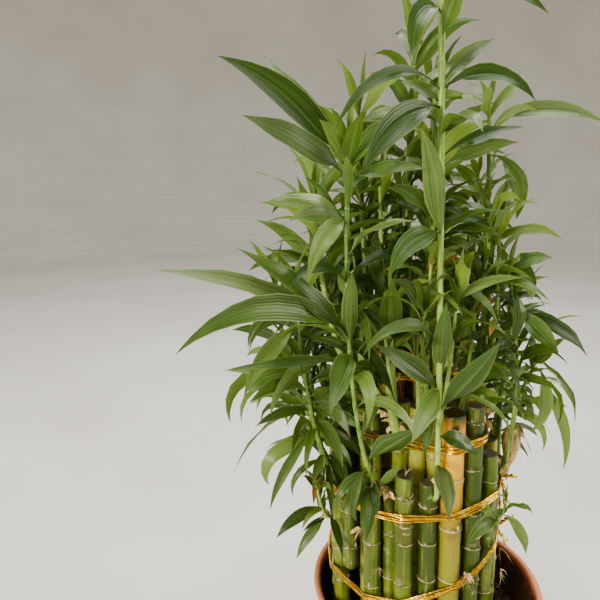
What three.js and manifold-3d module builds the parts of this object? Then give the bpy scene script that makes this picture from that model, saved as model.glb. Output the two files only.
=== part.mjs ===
// Potted lucky bamboo: a tower of upright canes in four rings, the inner rings taller, held by gold ties in a clay pot.
// Millimetres, +Z up. The origin is the centre of the pot's underside. -Y is the side seen in the photograph.
import * as THREE from "three";
import { mergeVertices } from "three/addons/utils/BufferGeometryUtils.js";
import Module from "manifold-3d";

const wasm = await Module();
wasm.setup();

// Gap kept between pieces that touch on the real plant.
const GAP = 0.3;

// The pot and its soil.
const POT = {
  height: 225,
  rimRadius: 130,
  bandHeight: 48,
  bandFootRadius: 117,
  shoulderRadius: 111,
  shoulderDrop: 66,
  baseRadius: 80,
  wall: 7,
  floor: 10,
  lip: 3,
  sides: 32,
};
const SOIL_DROP = 45;
const SOIL_TOP = POT.height - SOIL_DROP;
const CANE_FOOT = SOIL_TOP + GAP;

// The tower stands a little to the left of the pot's middle and leans further left as it rises.
const TOWER = { x: -12, y: 0, lean: -0.03 };
const CANE_RADIUS = 9.4;
const CANE_SIDES = 8;
const NODE_SPACING = 44;
const NODE_SWELL = 0.6;
const NODE_LENGTH = 4;
const TOUCHING = 17;
const CLUMP_TOPS = 12;
const RINGS = {
  outer: { radius: 87, top: 400 },
  right: { radius: 80, top: 400 },
  inset: { radius: 75, top: 386 },
  second: { radius: 55, top: 463 },
  third: { radius: 35.4, top: 525 },
  core: { radius: 12.2, top: 590 },
};

// Canes that show one by one: bearing on the ring in degrees, top height, radius, and foot height where it isn't the soil.
const SINGLE_CANES = [
  { name: "cane_front_1", ring: "outer", bearing: 191, top: 396, radius: 9.0 },
  { name: "cane_front_2", ring: "outer", bearing: 208, top: 376, radius: 9.2, foot: 272 },
  { name: "cane_front_3", ring: "outer", bearing: 230, top: 388, radius: 8.8 },
  { name: "cane_front_shaded", ring: "inset", bearing: 240, top: 386, radius: 7.6 },
  { name: "cane_front_4", ring: "outer", bearing: 252, top: 408, radius: 9.2 },
  { name: "cane_front_5", ring: "outer", bearing: 267, top: 402, radius: 9.0 },
  { name: "cane_front_6_yellow", ring: "outer", bearing: 282, top: 474, radius: 10.6 },
  { name: "cane_front_7", ring: "outer", bearing: 298, top: 478, radius: 9.0 },
  { name: "cane_front_8", ring: "outer", bearing: 314, top: 420, radius: 8.4 },
  { name: "cane_front_9", ring: "right", bearing: 331, top: 396, radius: 9.0 },
  { name: "cane_right_husked", ring: "right", bearing: 346, top: 390, radius: 8.8 },
  { name: "cane_dead", ring: "third", bearing: 232, top: 530, radius: 8.6 },
];

// Canes that stand touching each other, fused in clumps: first bearing and number of canes.
const CLUMPS = [
  { name: "canes_right", ring: "right", bearing: 1, count: 4 },
  { name: "canes_back_right", ring: "outer", bearing: 54, count: 4 },
  { name: "canes_back_left", ring: "outer", bearing: 105, count: 4 },
  { name: "canes_left", ring: "outer", bearing: 155, count: 3 },
  { name: "canes_second_front", ring: "second", bearing: 242, count: 4 },
  { name: "canes_second_right", ring: "second", bearing: 332, count: 4 },
  { name: "canes_second_back", ring: "second", bearing: 62, count: 4 },
  { name: "canes_second_left", ring: "second", bearing: 152, count: 4 },
  { name: "canes_third_front", ring: "third", bearing: 264, count: 5 },
  { name: "canes_third_back", ring: "third", bearing: 50, count: 6 },
  { name: "canes_core", ring: "core", bearing: 40, count: 4 },
];

// Gold ties, wound by hand: height at the tower's axis, and the rise of the band in each millimetre to the right and back.
const TIES = [
  { name: "tie_low", height: 303, right: 0.42, back: 0.2 },
  { name: "tie_middle", height: 372, right: 0.12, back: 0.02 },
  { name: "tie_upper", height: 438, right: 0.22, back: 0 },
  { name: "tie_top", height: 492, right: 0.02, back: 0.02 },
];
const TIE_TALL = 8;
const TIE_THICK = 1.2;
const TIE_STEP = 2;

// The dried husk beside the top of the right-hand cane: its height and radius from its thread-like foot upwards, how
// far its foot stands from the cane's axis, and how far it leans out over its height.
const HUSK = {
  stations: [[374, 1.6], [392, 4.2], [410, 7.6], [422, 7.8], [430, 3.6]],
  out: 16,
  lean: 3,
  sides: 6,
};

// Shoots. Each grows from the side of a cane, or from the husk, and bends from its foot over a middle point to its tip.
// The cane is the one named by on, or else the one of its ring nearest its bearing.
// Leading leaves are the ones that make the outline: height, bearing, length, width, rise and droop in degrees.
// The others follow the rule in restLeaves: how many, and the length of the longest.
const SHOOTS = [
  {
    name: "main_shoot", ring: "outer", on: "cane_front_5", bearing: 300, foot: 392, bend: [-26, -112, 560],
    tip: [-38, -88, 862], radius: 3.6, leaves: 5, from: 0.55, long: 85, seed: 11,
    leading: [
      [425, 263, 74, 24, 15, 51],
      [455, 317, 44, 16, 34, 77],
      [481, 326, 95, 24, 52, -8],
      [502, 203, 86, 22, 42, 6],
      [502, 242, 81, 22, 4, 35],
      [507, 254, 94, 17, 88, 35],
      [542, 212, 103, 15, 66, 116],
      [637, 245, 114, 20, 64, 8],
      [642, 223, 81, 20, 10, 56],
      [695, 15, 78, 14, 32, 27],
      [704, 17, 86, 13, 31, 25],
      [720, 283, 73, 20, 51, 91],
      [730, 161, 76, 16, 27, 51],
      [742, 219, 107, 25, -3, 49],
      [745, 163, 40, 14, 48, 30],
      [755, 216, 132, 18, 35, 102],
      [756, 349, 81, 21, 44, 105],
      [761, 28, 69, 20, 42, 7],
      [795, 267, 78, 18, 50, 66],
      [812, 230, 76, 20, 22, 116],
      [845, 352, 94, 20, -6, 35],
      [856, 70, 52, 10, 84, 8],
    ],
  },
  {
    name: "left_shoot", ring: "outer", on: "cane_front_3", bearing: 302, foot: 383, bend: [-112, -122, 470],
    tip: [-108, -106, 712], radius: 3.4, leaves: 8, from: 0.35, long: 90, seed: 23,
    leading: [
      [402, 240, 61, 13, -13, 57],
      [433, 316, 73, 24, 50, 7],
      [439, 28, 48, 24, 67, 70],
      [532, 200, 116, 14, 6, 15],
      [537, 253, 82, 24, 11, 61],
      [540, 260, 92, 17, 77, 18],
      [548, 205, 139, 28, 51, 14],
      [551, 215, 184, 23, 49, 76],
      [555, 204, 185, 20, 39, 29],
      [651, 216, 63, 18, 32, 46],
      [652, 236, 81, 18, 7, 67],
      [654, 163, 76, 18, 31, 37],
      [686, 332, 70, 13, 23, 24],
      [687, 211, 107, 24, 37, 17],
      [692, 278, 67, 15, 71, 46],
      [693, 1, 57, 16, 68, 29],
      [694, 186, 139, 28, 54, 18],
      [696, 150, 126, 24, 49, 1],
    ],
  },
  {
    name: "thick_shoot", bough: "bough_thick", ring: "second", bearing: 248, foot: 440, bend: [-68, -76, 490], tip: [-62, -75, 575],
    radius: 5, bare: 0.62, leaves: 5, from: 0.1, long: 75, seed: 31,
    leading: [
      [530, 12, 45, 16, 60, 30],
      [536, 265, 83, 22, 69, 17],
    ],
  },
  {
    name: "left_low_shoot", bough: "bough_left_low", ring: "outer", bearing: 196, foot: 384, bend: [-140, -46, 440], tip: [-150, -52, 580],
    radius: 3.6, bare: 0.45, leaves: 12, from: 0.05, long: 95, seed: 43,
    leading: [
      [428, 219, 97, 12, -30, 38],
      [453, 196, 63, 12, 17, 52],
      [491, 191, 69, 17, 32, 82],
      [544, 227, 94, 18, -11, 41],
      [550, 202, 61, 17, 57, 8],
    ],
  },
  {
    name: "right_tall_shoot", bough: "bough_right_tall", ring: "third", bearing: 345, foot: 508, bend: [44, -14, 600], tip: [32, -6, 748],
    radius: 4, bare: 0.38, leaves: 8, from: 0.06, long: 84, seed: 57,
    leading: [
      [704, 333, 75, 20, -25, 75],
      [728, 9, 138, 22, 38, 78],
      [736, 249, 56, 17, 56, 45],
    ],
  },
  {
    name: "right_pale_shoot", ring: "second", bearing: 325, foot: 462, bend: [48, -44, 540], tip: [42, -32, 640], radius: 3.6,
    leaves: 9, from: 0.2, long: 78, seed: 61,
    leading: [
      [577, 345, 61, 17, 77, 66],
      [603, 344, 55, 17, 16, 120],
    ],
  },
  {
    name: "husk_shoot", husk: true, bend: [76, -26, 466], tip: [87, -40, 506], radius: 3,
    leaves: 6, from: 0.1, long: 55, seed: 73,
    leading: [
      [488, 323, 109, 13, -36, 59],
      [501, 312, 82, 14, -46, 81],
      [501, 345, 31, 16, 71, 48],
      [505, 338, 78, 10, -25, 57],
    ],
  },
  {
    name: "right_foot_shoot", ring: "outer", bearing: 306, foot: 344, bend: [52, -84, 356], tip: [52, -88, 380], radius: 2.8,
    leaves: 3, from: 0.3, long: 40, seed: 83,
    leading: [
      [358, 217, 53, 14, 33, 85],
      [366, 326, 47, 12, -17, 71],
    ],
  },
  {
    name: "right_front_shoot", ring: "right", bearing: 334, foot: 389, bend: [76, -54, 482], tip: [50, -44, 602], radius: 3.2,
    leaves: 9, from: 0.35, long: 62, seed: 97,
    leading: [
      [554, 356, 86, 20, -4, 45],
      [560, 342, 57, 20, -37, 4],
      [581, 298, 55, 13, -53, 57],
      [600, 346, 43, 18, 39, 31],
    ],
  },
  {
    name: "left_foot_shoot", ring: "outer", bearing: 190, foot: 318, bend: [-122, -34, 326], tip: [-128, -44, 366], radius: 2.8,
    leaves: 5, from: 0.3, long: 60, seed: 101,
    leading: [
      [319, 211, 61, 12, -28, 35],
      [340, 203, 62, 14, 5, 60],
    ],
  },
];

// Shoots on the sides and back that the photograph doesn't show, one for each entry: name, ring, bearing, reach out
// from the tower's axis, tip height, number of leaves and, on the sparser right side, the length of the longest. A side
// branch leaves each one low down.
const REST_OF_CROWN = [
  { name: "crown_left_1", ring: "outer", bearing: 176, reach: 150, tip: 560, leaves: 17, branch: -34 },
  { name: "crown_left_2", ring: "outer", bearing: 157, reach: 138, tip: 520, leaves: 15, branch: 30 },
  { name: "crown_back_1", ring: "outer", bearing: 128, reach: 146, tip: 585, leaves: 17, branch: -30 },
  { name: "crown_back_2", ring: "outer", bearing: 103, reach: 150, tip: 530, leaves: 15, branch: 32 },
  { name: "crown_back_3", ring: "outer", bearing: 72, reach: 130, tip: 570, leaves: 17, branch: 30, long: 104 },
  { name: "crown_back_4", ring: "outer", bearing: 54, reach: 116, tip: 545, leaves: 15, branch: -24, long: 88 },
  { name: "crown_right_1", ring: "right", bearing: 14, reach: 104, tip: 560, leaves: 14, branch: 28, long: 80 },
  { name: "crown_second_1", ring: "second", bearing: 200, reach: 118, tip: 660, leaves: 15, branch: -36 },
  { name: "crown_second_2", ring: "second", bearing: 152, reach: 112, tip: 690, leaves: 15, branch: 36 },
  { name: "crown_second_3", ring: "second", bearing: 95, reach: 116, tip: 665, leaves: 15, branch: -36 },
  { name: "crown_second_4", ring: "second", bearing: 40, reach: 86, tip: 680, leaves: 15, branch: 30, long: 84 },
  { name: "crown_third_1", ring: "third", bearing: 178, reach: 62, tip: 740, leaves: 12, branch: 0 },
  { name: "crown_third_2", ring: "third", bearing: 75, reach: 66, tip: 770, leaves: 13, branch: 0 },
  { name: "crown_third_3", ring: "third", bearing: 268, reach: 46, tip: 690, leaves: 9, branch: 0 },
  { name: "crown_core", ring: "core", bearing: 110, reach: 24, tip: 800, leaves: 13, branch: 0 },
];
const REST = { footDrop: 6, radius: 3.8, long: 118, from: 0.12, seed: 200, seedStep: 17, veer: 5, bendReach: 0.9, bendRise: 0.35 };

// Every shoot thins by this share of its radius from foot to tip.
const SHOOT_TAPER = 0.45;

// A side branch: where it leaves its shoot, the points of the shoot's curve that it copies, turned, and its share of
// the shoot's thickness and leaves.
const BRANCH = { start: 0.22, bendAt: 0.45, bendTurn: 0.75, tipAt: 0.68, thickness: 0.75, leaves: 0.45, from: 0.25 };

// A leaf's build: where it is widest, the second width of one that bends far, its thickness over its length, how deep
// its root is sunk, the space kept round it, and the share near the root that may touch its neighbours.
const LEAF = { widest: 0.4, far: 0.68, farWidth: 0.78, thick: 1 / 75, sunk: 1.6, bentDroop: 80, spare: 0.6, free: 0.14 };

// The rule for the leaves that don't make the outline. Angles in degrees; each draw adds up to its scatter.
const RULE = {
  turn: 137.5,
  turnScatter: 30,
  seedTurn: 40,
  shortest: 0.72,
  tipShortening: 0.3,
  rise: { foot: 22, gain: 44, scatter: 22 },
  droop: { foot: 78, gain: -45, scatter: 34 },
  width: { least: 5, share: 0.13, scatter: 0.05 },
};

// A leaf that meets another is turned by each of these in turn before it is left out.
const LEADING_TURNS = [0, 6, -6, 12, -12];
const RULE_TURNS = [0, 24, -24, 48, -48];

// Points closer than this count as one in a seam, and seam edges shorter than the detail are dropped.
const ROUNDING = 1e-3;
const SEAM_DETAIL = 0.02;

const colours = {
  clay: 0xc4643c,
  soil: 0x3a2a20,
  cane: 0x6f9a3c,
  yellowCane: 0xe0a848,
  dead: 0x7a5a40,
  gold: 0xc9962e,
  husk: 0xc0a078,
  shoot: 0x7fae45,
  leaf: 0x4c7d2c,
};

const rad = (degrees) => (degrees * Math.PI) / 180;

// Seeded numbers from 0 to 1, the same each time.
function seeded(seed) {
  let state = seed >>> 0;
  return () => {
    state = (state + 0x6d2b79f5) >>> 0;
    let t = state;
    t = Math.imul(t ^ (t >>> 15), t | 1);
    t = (t ^ (t + Math.imul(t ^ (t >>> 7), t | 61))) >>> 0;
    return ((t ^ (t >>> 14)) >>> 0) / 4294967296;
  };
}

// Closed geometry through rings of points, each ring turning counterclockwise seen against its direction of travel.
function loft(rings, closedLoop = false) {
  const count = rings[0].length;
  const points = rings.flat();
  const faces = [];
  const spans = closedLoop ? rings.length : rings.length - 1;
  for (let r = 0; r < spans; r++) {
    const a = r * count;
    const b = ((r + 1) % rings.length) * count;
    for (let i = 0; i < count; i++) {
      const j = (i + 1) % count;
      faces.push(a + i, a + j, b + j, a + i, b + j, b + i);
    }
  }
  if (!closedLoop) {
    const last = (rings.length - 1) * count;
    for (let i = 1; i < count - 1; i++) {
      faces.push(0, i + 1, i);
      faces.push(last, last + i, last + i + 1);
    }
  }
  return geometryOf(points, faces);
}

function geometryOf(points, faces) {
  const geometry = new THREE.BufferGeometry();
  geometry.setAttribute("position", new THREE.Float32BufferAttribute(points.flatMap((p) => p.toArray()), 3));
  geometry.setIndex(faces);
  return geometry;
}

function solidOf(geometry) {
  const bare = new THREE.BufferGeometry();
  bare.setAttribute("position", geometry.getAttribute("position"));
  bare.setIndex(geometry.index);
  const merged = mergeVertices(bare, 1e-4);
  return new wasm.Manifold(
    new wasm.Mesh({
      numProp: 3,
      vertProperties: merged.attributes.position.array,
      triVerts: new Uint32Array(merged.index.array),
    }),
  );
}

// Back to a geometry: the outer shell of the largest body, so that scraps are dropped and sealed hollows are filled.
function shellOf(solid) {
  const largest = solid.simplify(SEAM_DETAIL).decompose().reduce((a, b) => (b.volume() > a.volume() ? b : a));
  const mesh = largest.getMesh();
  const geometry = new THREE.BufferGeometry();
  geometry.setAttribute("position", new THREE.BufferAttribute(mesh.vertProperties, 3));
  geometry.setIndex(new THREE.BufferAttribute(mesh.triVerts, 1));
  return geometry;
}

// Whether the skin still closes once its points are rounded, each edge between two faces and no more.
function closes(solid) {
  const { vertProperties, triVerts } = solid.getMesh();
  const keyOf = (v) => [0, 1, 2].map((k) => Math.trunc(vertProperties[v * 3 + k] / ROUNDING + 0.5)).join();
  const keys = Array.from({ length: vertProperties.length / 3 }, (_, v) => keyOf(v));
  const edges = new Map();
  for (let i = 0; i < triVerts.length; i += 3) {
    const corners = [keys[triVerts[i]], keys[triVerts[i + 1]], keys[triVerts[i + 2]]];
    if (new Set(corners).size < 3) continue;
    corners.forEach((a, k) => {
      const b = corners[(k + 1) % 3];
      edges.set(a + "/" + b, (edges.get(a + "/" + b) ?? 0) + 1);
    });
  }
  return [...edges].every(([edge, count]) => count === 1 && edges.has(edge.split("/").reverse().join("/")));
}

// Solids fused one after another; one whose seam wouldn't close cleanly is left out.
function joined(solids) {
  return solids.reduce((body, next) => {
    const both = body.add(next);
    return closes(both) ? both : body;
  });
}

// A level ring of points about a centre.
function levelRing(centre, radius, sides, turn = 0) {
  return Array.from({ length: sides }, (_, k) => {
    const angle = turn + (2 * Math.PI * k) / sides;
    return new THREE.Vector3(centre.x + radius * Math.cos(angle), centre.y + radius * Math.sin(angle), centre.z);
  });
}

// A round tapering limb along a list of points. Its foot is cut level unless it starts at another limb's end.
function limb(path, radii, sides, turn, levelFoot) {
  const rings = path.map((point, i) => {
    if (i === 0 && levelFoot) return levelRing(point, radii[0], sides, turn);
    const ahead = path[Math.min(i + 1, path.length - 1)].clone().sub(path[Math.max(i - 1, 0)]).normalize();
    const across = new THREE.Vector3(0, 1, 0).cross(ahead).normalize();
    const other = ahead.clone().cross(across);
    return Array.from({ length: sides }, (_, k) => {
      const angle = turn + (2 * Math.PI * k) / sides;
      return point
        .clone()
        .addScaledVector(across, radii[i] * Math.cos(angle))
        .addScaledVector(other, radii[i] * Math.sin(angle));
    });
  });
  return loft(rings);
}

// How far the leaning tower has moved sideways at a height.
const leanAt = (z) => TOWER.lean * Math.max(0, z - CANE_FOOT);

const polar = (radius, bearing, z) =>
  new THREE.Vector3(TOWER.x + leanAt(z) + radius * Math.cos(rad(bearing)), TOWER.y + radius * Math.sin(rad(bearing)), z);

// The pot: a tapering body, a shoulder, and a flared band with a rounded lip, open above and closed below.
function potGeometry() {
  const { height, rimRadius, bandHeight, bandFootRadius, shoulderRadius, shoulderDrop, baseRadius, wall, floor, lip } = POT;
  const bandFoot = height - bandHeight;
  const shoulder = height - shoulderDrop;
  const innerRim = rimRadius - wall;
  const profile = [
    [0, 0],
    [baseRadius - 2, 0],
    [baseRadius, 2],
    [shoulderRadius, shoulder],
    [(shoulderRadius + bandFootRadius) / 2, (shoulder + bandFoot) / 2],
    [bandFootRadius, bandFoot],
    [rimRadius, height - lip],
    [rimRadius - lip * 0.4, height - lip * 0.3],
    [rimRadius - wall / 2, height],
    [innerRim + lip * 0.4, height - lip * 0.3],
    [innerRim, height - lip],
    [bandFootRadius - wall, bandFoot],
    [shoulderRadius - wall, shoulder],
    [baseRadius - wall, floor],
    [0, floor],
  ];
  return new THREE.LatheGeometry(
    profile.map(([r, z]) => new THREE.Vector2(r, z)),
    POT.sides,
  ).rotateX(Math.PI / 2);
}

// The soil fills the pot up to its top surface, clear of the clay all round.
function soilGeometry() {
  const { height, bandHeight, shoulderRadius, shoulderDrop, bandFootRadius, baseRadius, wall, floor } = POT;
  const clear = GAP * 1.5;
  const shoulder = height - shoulderDrop;
  const bandFoot = height - bandHeight;
  const bandSlope = (POT.rimRadius - bandFootRadius) / (bandHeight - POT.lip);
  const topRadius = bandFootRadius + bandSlope * (SOIL_TOP - bandFoot);
  const profile = [
    [0, floor + GAP],
    [baseRadius - wall - clear, floor + GAP],
    [shoulderRadius - wall - clear, shoulder],
    [bandFootRadius - wall - clear, bandFoot],
    [topRadius - wall - clear, SOIL_TOP],
    [0, SOIL_TOP],
  ];
  return new THREE.LatheGeometry(
    profile.map(([r, z]) => new THREE.Vector2(r, z)),
    POT.sides,
  ).rotateX(Math.PI / 2);
}

// A round piece through stations of height and radius that leans with the tower, with an edge facing out from it.
function upright(axis, stations, bearing) {
  const centre = (z) => new THREE.Vector3(axis.x + leanAt(z), axis.y, z);
  return loft(stations.map(([z, r]) => levelRing(centre(z), r, CANE_SIDES, rad(bearing))));
}

// Heights and radii up a cane that stands alone: it swells at each node and ends in a flat cut.
function caneStations({ top, radius, foot = CANE_FOOT }) {
  const stations = [[foot, foot > CANE_FOOT ? radius * 0.6 : radius]];
  if (foot > CANE_FOOT) stations.push([foot + radius * 0.5, radius]);
  for (let z = foot + NODE_SPACING * 0.8; z < top - NODE_LENGTH * 2; z += NODE_SPACING) {
    stations.push([z - NODE_LENGTH, radius - 0.2]);
    stations.push([z, radius + NODE_SWELL]);
  }
  stations.push([top, radius - 0.2]);
  return stations;
}

const caneGeometry = (cane) =>
  upright(polar(RINGS[cane.ring].radius, cane.bearing, 0), caneStations(cane), cane.bearing);

// The canes of a clump, each a centre and a top height, worked out from the clump's first bearing.
function clumpCanes({ ring, bearing, count, name }) {
  const { radius, top } = RINGS[ring];
  const step = (2 * Math.asin(TOUCHING / 2 / radius) * 180) / Math.PI;
  const random = seeded(name.length * 7 + bearing);
  return Array.from({ length: count }, (_, i) => ({
    ring,
    bearing: bearing + i * step,
    top: top + Math.round(random() * CLUMP_TOPS) - 2,
    radius: CANE_RADIUS,
  }));
}

function clumpGeometry(clump) {
  const solids = clumpCanes(clump).map(({ ring, bearing, top, radius }) => {
    const axis = polar(RINGS[ring].radius, bearing, 0);
    return solidOf(upright(axis, [[CANE_FOOT, radius], [top, radius]], bearing));
  });
  return shellOf(joined(solids));
}

const allCanes = [...SINGLE_CANES, ...CLUMPS.flatMap(clumpCanes)];

const tieHeight = ({ height, right, back }, { x, y }) => height + right * (x - TOWER.x) + back * (y - TOWER.y);

// The outline of a stretched tie: the convex hull of the canes that it goes round.
function hullOf(tie) {
  const clear = NODE_SWELL + GAP / Math.cos(Math.PI / CANE_SIDES);
  const points = allCanes.flatMap(({ ring, bearing, top, radius, foot = CANE_FOOT }) => {
    const height = tieHeight(tie, polar(RINGS[ring].radius, bearing, tie.height));
    if (top < height || foot > height) return [];
    const centre = polar(RINGS[ring].radius, bearing, height);
    return levelRing(centre, radius + clear, CANE_SIDES, rad(bearing)).map((p) => new THREE.Vector2(p.x, p.y));
  });
  points.sort((a, b) => a.x - b.x || a.y - b.y);
  const turn = (o, a, b) => (a.x - o.x) * (b.y - o.y) - (a.y - o.y) * (b.x - o.x);
  const half = (list) => {
    const chain = [];
    for (const p of list) {
      while (chain.length > 1 && turn(chain[chain.length - 2], chain[chain.length - 1], p) <= 0) chain.pop();
      chain.push(p);
    }
    return chain.slice(0, -1);
  };
  return [...half(points), ...half([...points].reverse())];
}

function tieGeometry(tie) {
  const inner = hullOf(tie).filter((p, i, all) => p.distanceTo(all[(i + 1) % all.length]) > TIE_STEP);
  const middle = inner.reduce((a, b) => a.clone().add(b)).divideScalar(inner.length);
  const rings = inner.map((point) => {
    const outward = point.clone().sub(middle).normalize();
    const outer = point.clone().addScaledVector(outward, TIE_THICK);
    const low = tieHeight(tie, point) - TIE_TALL / 2;
    return [
      new THREE.Vector3(point.x, point.y, low),
      new THREE.Vector3(point.x, point.y, low + TIE_TALL),
      new THREE.Vector3(outer.x, outer.y, low + TIE_TALL),
      new THREE.Vector3(outer.x, outer.y, low),
    ];
  });
  return loft(rings, true);
}

// The husk's axis at a height.
function huskAxis(z) {
  const { bearing } = SINGLE_CANES.find((cane) => cane.name === "cane_right_husked");
  const [low, high] = [HUSK.stations[0][0], HUSK.stations.at(-1)[0]];
  return polar(RINGS.right.radius + HUSK.out + (HUSK.lean * (z - low)) / (high - low), bearing, z);
}

function huskGeometry() {
  return loft(HUSK.stations.map(([z, radius]) => levelRing(huskAxis(z), radius, HUSK.sides)));
}

// The foot of a shoot: just outside its cane, or just above the husk.
function footOf(shoot) {
  if (shoot.husk) return huskAxis(HUSK.stations.at(-1)[0] + GAP);
  const cane =
    allCanes.find(({ name }) => name && name === shoot.on) ??
    allCanes
      .filter(({ ring }) => ring === shoot.ring)
      .reduce((a, b) => (turnBetween(b.bearing, shoot.bearing) < turnBetween(a.bearing, shoot.bearing) ? b : a));
  const height = shoot.foot ?? cane.top - REST.footDrop;
  const out = caneReach(cane, shoot.bearing, height) + GAP + shoot.radius;
  const away = new THREE.Vector3(out * Math.cos(rad(shoot.bearing)), out * Math.sin(rad(shoot.bearing)), 0);
  return polar(RINGS[shoot.ring].radius, cane.bearing, height).add(away);
}

// How far a cane's many-sided skin reaches from its axis, towards a bearing and at a height.
function caneReach(cane, bearing, height) {
  const stations = SINGLE_CANES.includes(cane) ? caneStations(cane) : [[CANE_FOOT, cane.radius], [cane.top, cane.radius]];
  const upper = Math.max(1, stations.findIndex(([z]) => z >= height));
  const [z0, r0] = stations[upper - 1];
  const [z1, r1] = stations[upper];
  const radius = r0 + ((r1 - r0) * (height - z0)) / (z1 - z0);
  const side = 360 / CANE_SIDES;
  const offFlat = ((((bearing - cane.bearing) % side) + side) % side) - side / 2;
  return (radius * Math.cos(rad(side / 2))) / Math.cos(rad(offFlat));
}

const turnBetween = (a, b) => Math.abs(((a - b + 540) % 360) - 180);

// A point of the shoot's curve, from its foot at 0 to its tip at 1.
function curvePoint({ foot, bend, tip }, t) {
  return foot
    .clone()
    .multiplyScalar((1 - t) * (1 - t))
    .addScaledVector(bend, 2 * t * (1 - t))
    .addScaledVector(tip, t * t);
}

function heightOn(curve, height) {
  let low = 0;
  let high = 1;
  for (let i = 0; i < 24; i++) {
    const middle = (low + high) / 2;
    if (curvePoint(curve, middle).z < height) low = middle;
    else high = middle;
  }
  return low;
}

const shootRadius = (radius, t) => radius * (1 - SHOOT_TAPER * t);

function stretch(curve, radius, from, to, sides, steps, turn = 0) {
  const path = [];
  const radii = [];
  for (let i = 0; i <= steps; i++) {
    const t = from + ((to - from) * i) / steps;
    path.push(curvePoint(curve, t));
    radii.push(shootRadius(radius, t));
  }
  return limb(path, radii, sides, turn, from === 0);
}

// A point of the leaf's midrib, which leaves the shoot at its rise and bends down evenly by its droop.
function midribPoint(leaf, t) {
  const rise = rad(leaf.rise);
  const droop = rad(leaf.droop);
  const bent = Math.abs(droop) > 0.01;
  const out = bent ? (Math.sin(rise) - Math.sin(rise - droop * t)) / droop : Math.cos(rise) * t;
  const up = bent ? (Math.cos(rise - droop * t) - Math.cos(rise)) / droop : Math.sin(rise) * t;
  const direction = new THREE.Vector3(Math.cos(rad(leaf.bearing)), Math.sin(rad(leaf.bearing)), 0);
  return leaf.base
    .clone()
    .addScaledVector(direction, out * leaf.length)
    .add(new THREE.Vector3(0, 0, up * leaf.length));
}

// A blade of eight faces, or sixteen where it bends far: a point in the shoot, one or two diamonds, and a tip.
function leafGeometry(leaf, spare = 0, from = 0) {
  const stations = Math.abs(leaf.droop) > LEAF.bentDroop
    ? [[LEAF.widest * 0.8, 1], [LEAF.far, LEAF.farWidth]]
    : [[LEAF.widest, 1]];
  const side = new THREE.Vector3(-Math.sin(rad(leaf.bearing)), Math.cos(rad(leaf.bearing)), 0);
  const heading = midribPoint(leaf, 0.04).sub(leaf.base).normalize();
  const root = from ? midribPoint(leaf, from) : leaf.base.clone().addScaledVector(heading, -LEAF.sunk);
  const points = [root];
  for (const [t, share] of stations) {
    const centre = midribPoint(leaf, t);
    const ahead = midribPoint(leaf, t + 0.02).sub(centre).normalize();
    const up = side.clone().cross(ahead).negate();
    const half = (leaf.width * share) / 2 + spare;
    const thick = leaf.length * LEAF.thick * 0.5 + spare;
    points.push(
      centre.clone().addScaledVector(side, half),
      centre.clone().addScaledVector(up, -thick),
      centre.clone().addScaledVector(side, -half),
      centre.clone().addScaledVector(up, thick),
    );
  }
  points.push(midribPoint(leaf, 1));
  const faces = [];
  const rings = stations.length;
  for (let i = 0; i < 4; i++) {
    const j = (i + 1) % 4;
    faces.push(0, 1 + i, 1 + j);
    for (let r = 0; r < rings - 1; r++) {
      const a = 1 + r * 4;
      faces.push(a + i, a + 4 + i, a + 4 + j, a + i, a + 4 + j, a + j);
    }
    const last = 1 + (rings - 1) * 4;
    faces.push(points.length - 1, last + j, last + i);
  }
  return geometryOf(points, faces);
}

// The leaves that follow the rule: a spiral up the shoot, short and steep at its tip, longer and flatter below.
function restLeaves(shoot, curve, random) {
  const list = [];
  for (let i = 0; i < shoot.leaves; i++) {
    const along = shoot.from + (1 - shoot.from) * ((i + 0.6) / shoot.leaves);
    const grown = ({ foot, gain, scatter }) => foot + gain * along + random() * scatter;
    list.push({
      bearing: shoot.seed * RULE.seedTurn + i * RULE.turn + (random() - 0.5) * RULE.turnScatter,
      length: shoot.long * (RULE.shortest + (1 - RULE.shortest) * random()) * (1 - RULE.tipShortening * along * along),
      rise: grown(RULE.rise),
      droop: grown(RULE.droop),
      base: curvePoint(curve, along),
    });
  }
  const { least, share, scatter } = RULE.width;
  for (const leaf of list) leaf.width = least + leaf.length * (share + scatter * random());
  return list;
}

const group = new THREE.Group();

function addMesh(name, geometry, colour, roughness, metalness = 0) {
  const material = new THREE.MeshStandardMaterial({ color: colour, roughness, metalness, flatShading: true });
  const mesh = new THREE.Mesh(geometry, material);
  mesh.name = name;
  group.add(mesh);
  return solidOf(geometry);
}

// What a new leaf has to keep clear of: each solid with its box and the name of its own mass. Within a mass only the
// free parts of two blades keep clear of each other, because their roots meet in the shoot.
const placed = [];

function keep(solid, owner, blade = null) {
  placed.push({ solid, blade, owner, box: solid.boundingBox() });
}

function apart(a, b) {
  return a.intersect(b).volume() < 1e-6;
}

function isFree(solid, owner, blade = null) {
  const box = solid.boundingBox();
  return placed.every((other) => {
    for (let k = 0; k < 3; k++) if (other.box.min[k] > box.max[k] || other.box.max[k] < box.min[k]) return true;
    if (other.owner === owner) return !blade || !other.blade || apart(blade, other.blade);
    return apart(solid, other.solid);
  });
}

keep(addMesh("pot", potGeometry(), colours.clay, 0.7), "pot");
keep(addMesh("soil", soilGeometry(), colours.soil, 0.95), "soil");
for (const cane of SINGLE_CANES) {
  const colour = { cane_front_6_yellow: colours.yellowCane, cane_dead: colours.dead }[cane.name] ?? colours.cane;
  keep(addMesh(cane.name, caneGeometry(cane), colour, 0.45), cane.name);
}
for (const clump of CLUMPS) keep(addMesh(clump.name, clumpGeometry(clump), colours.cane, 0.45), clump.name);
for (const tie of TIES) keep(addMesh(tie.name, tieGeometry(tie), colours.gold, 0.3, 0.8), tie.name);
keep(addMesh("husk", huskGeometry(), colours.husk, 0.8), "husk");

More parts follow.
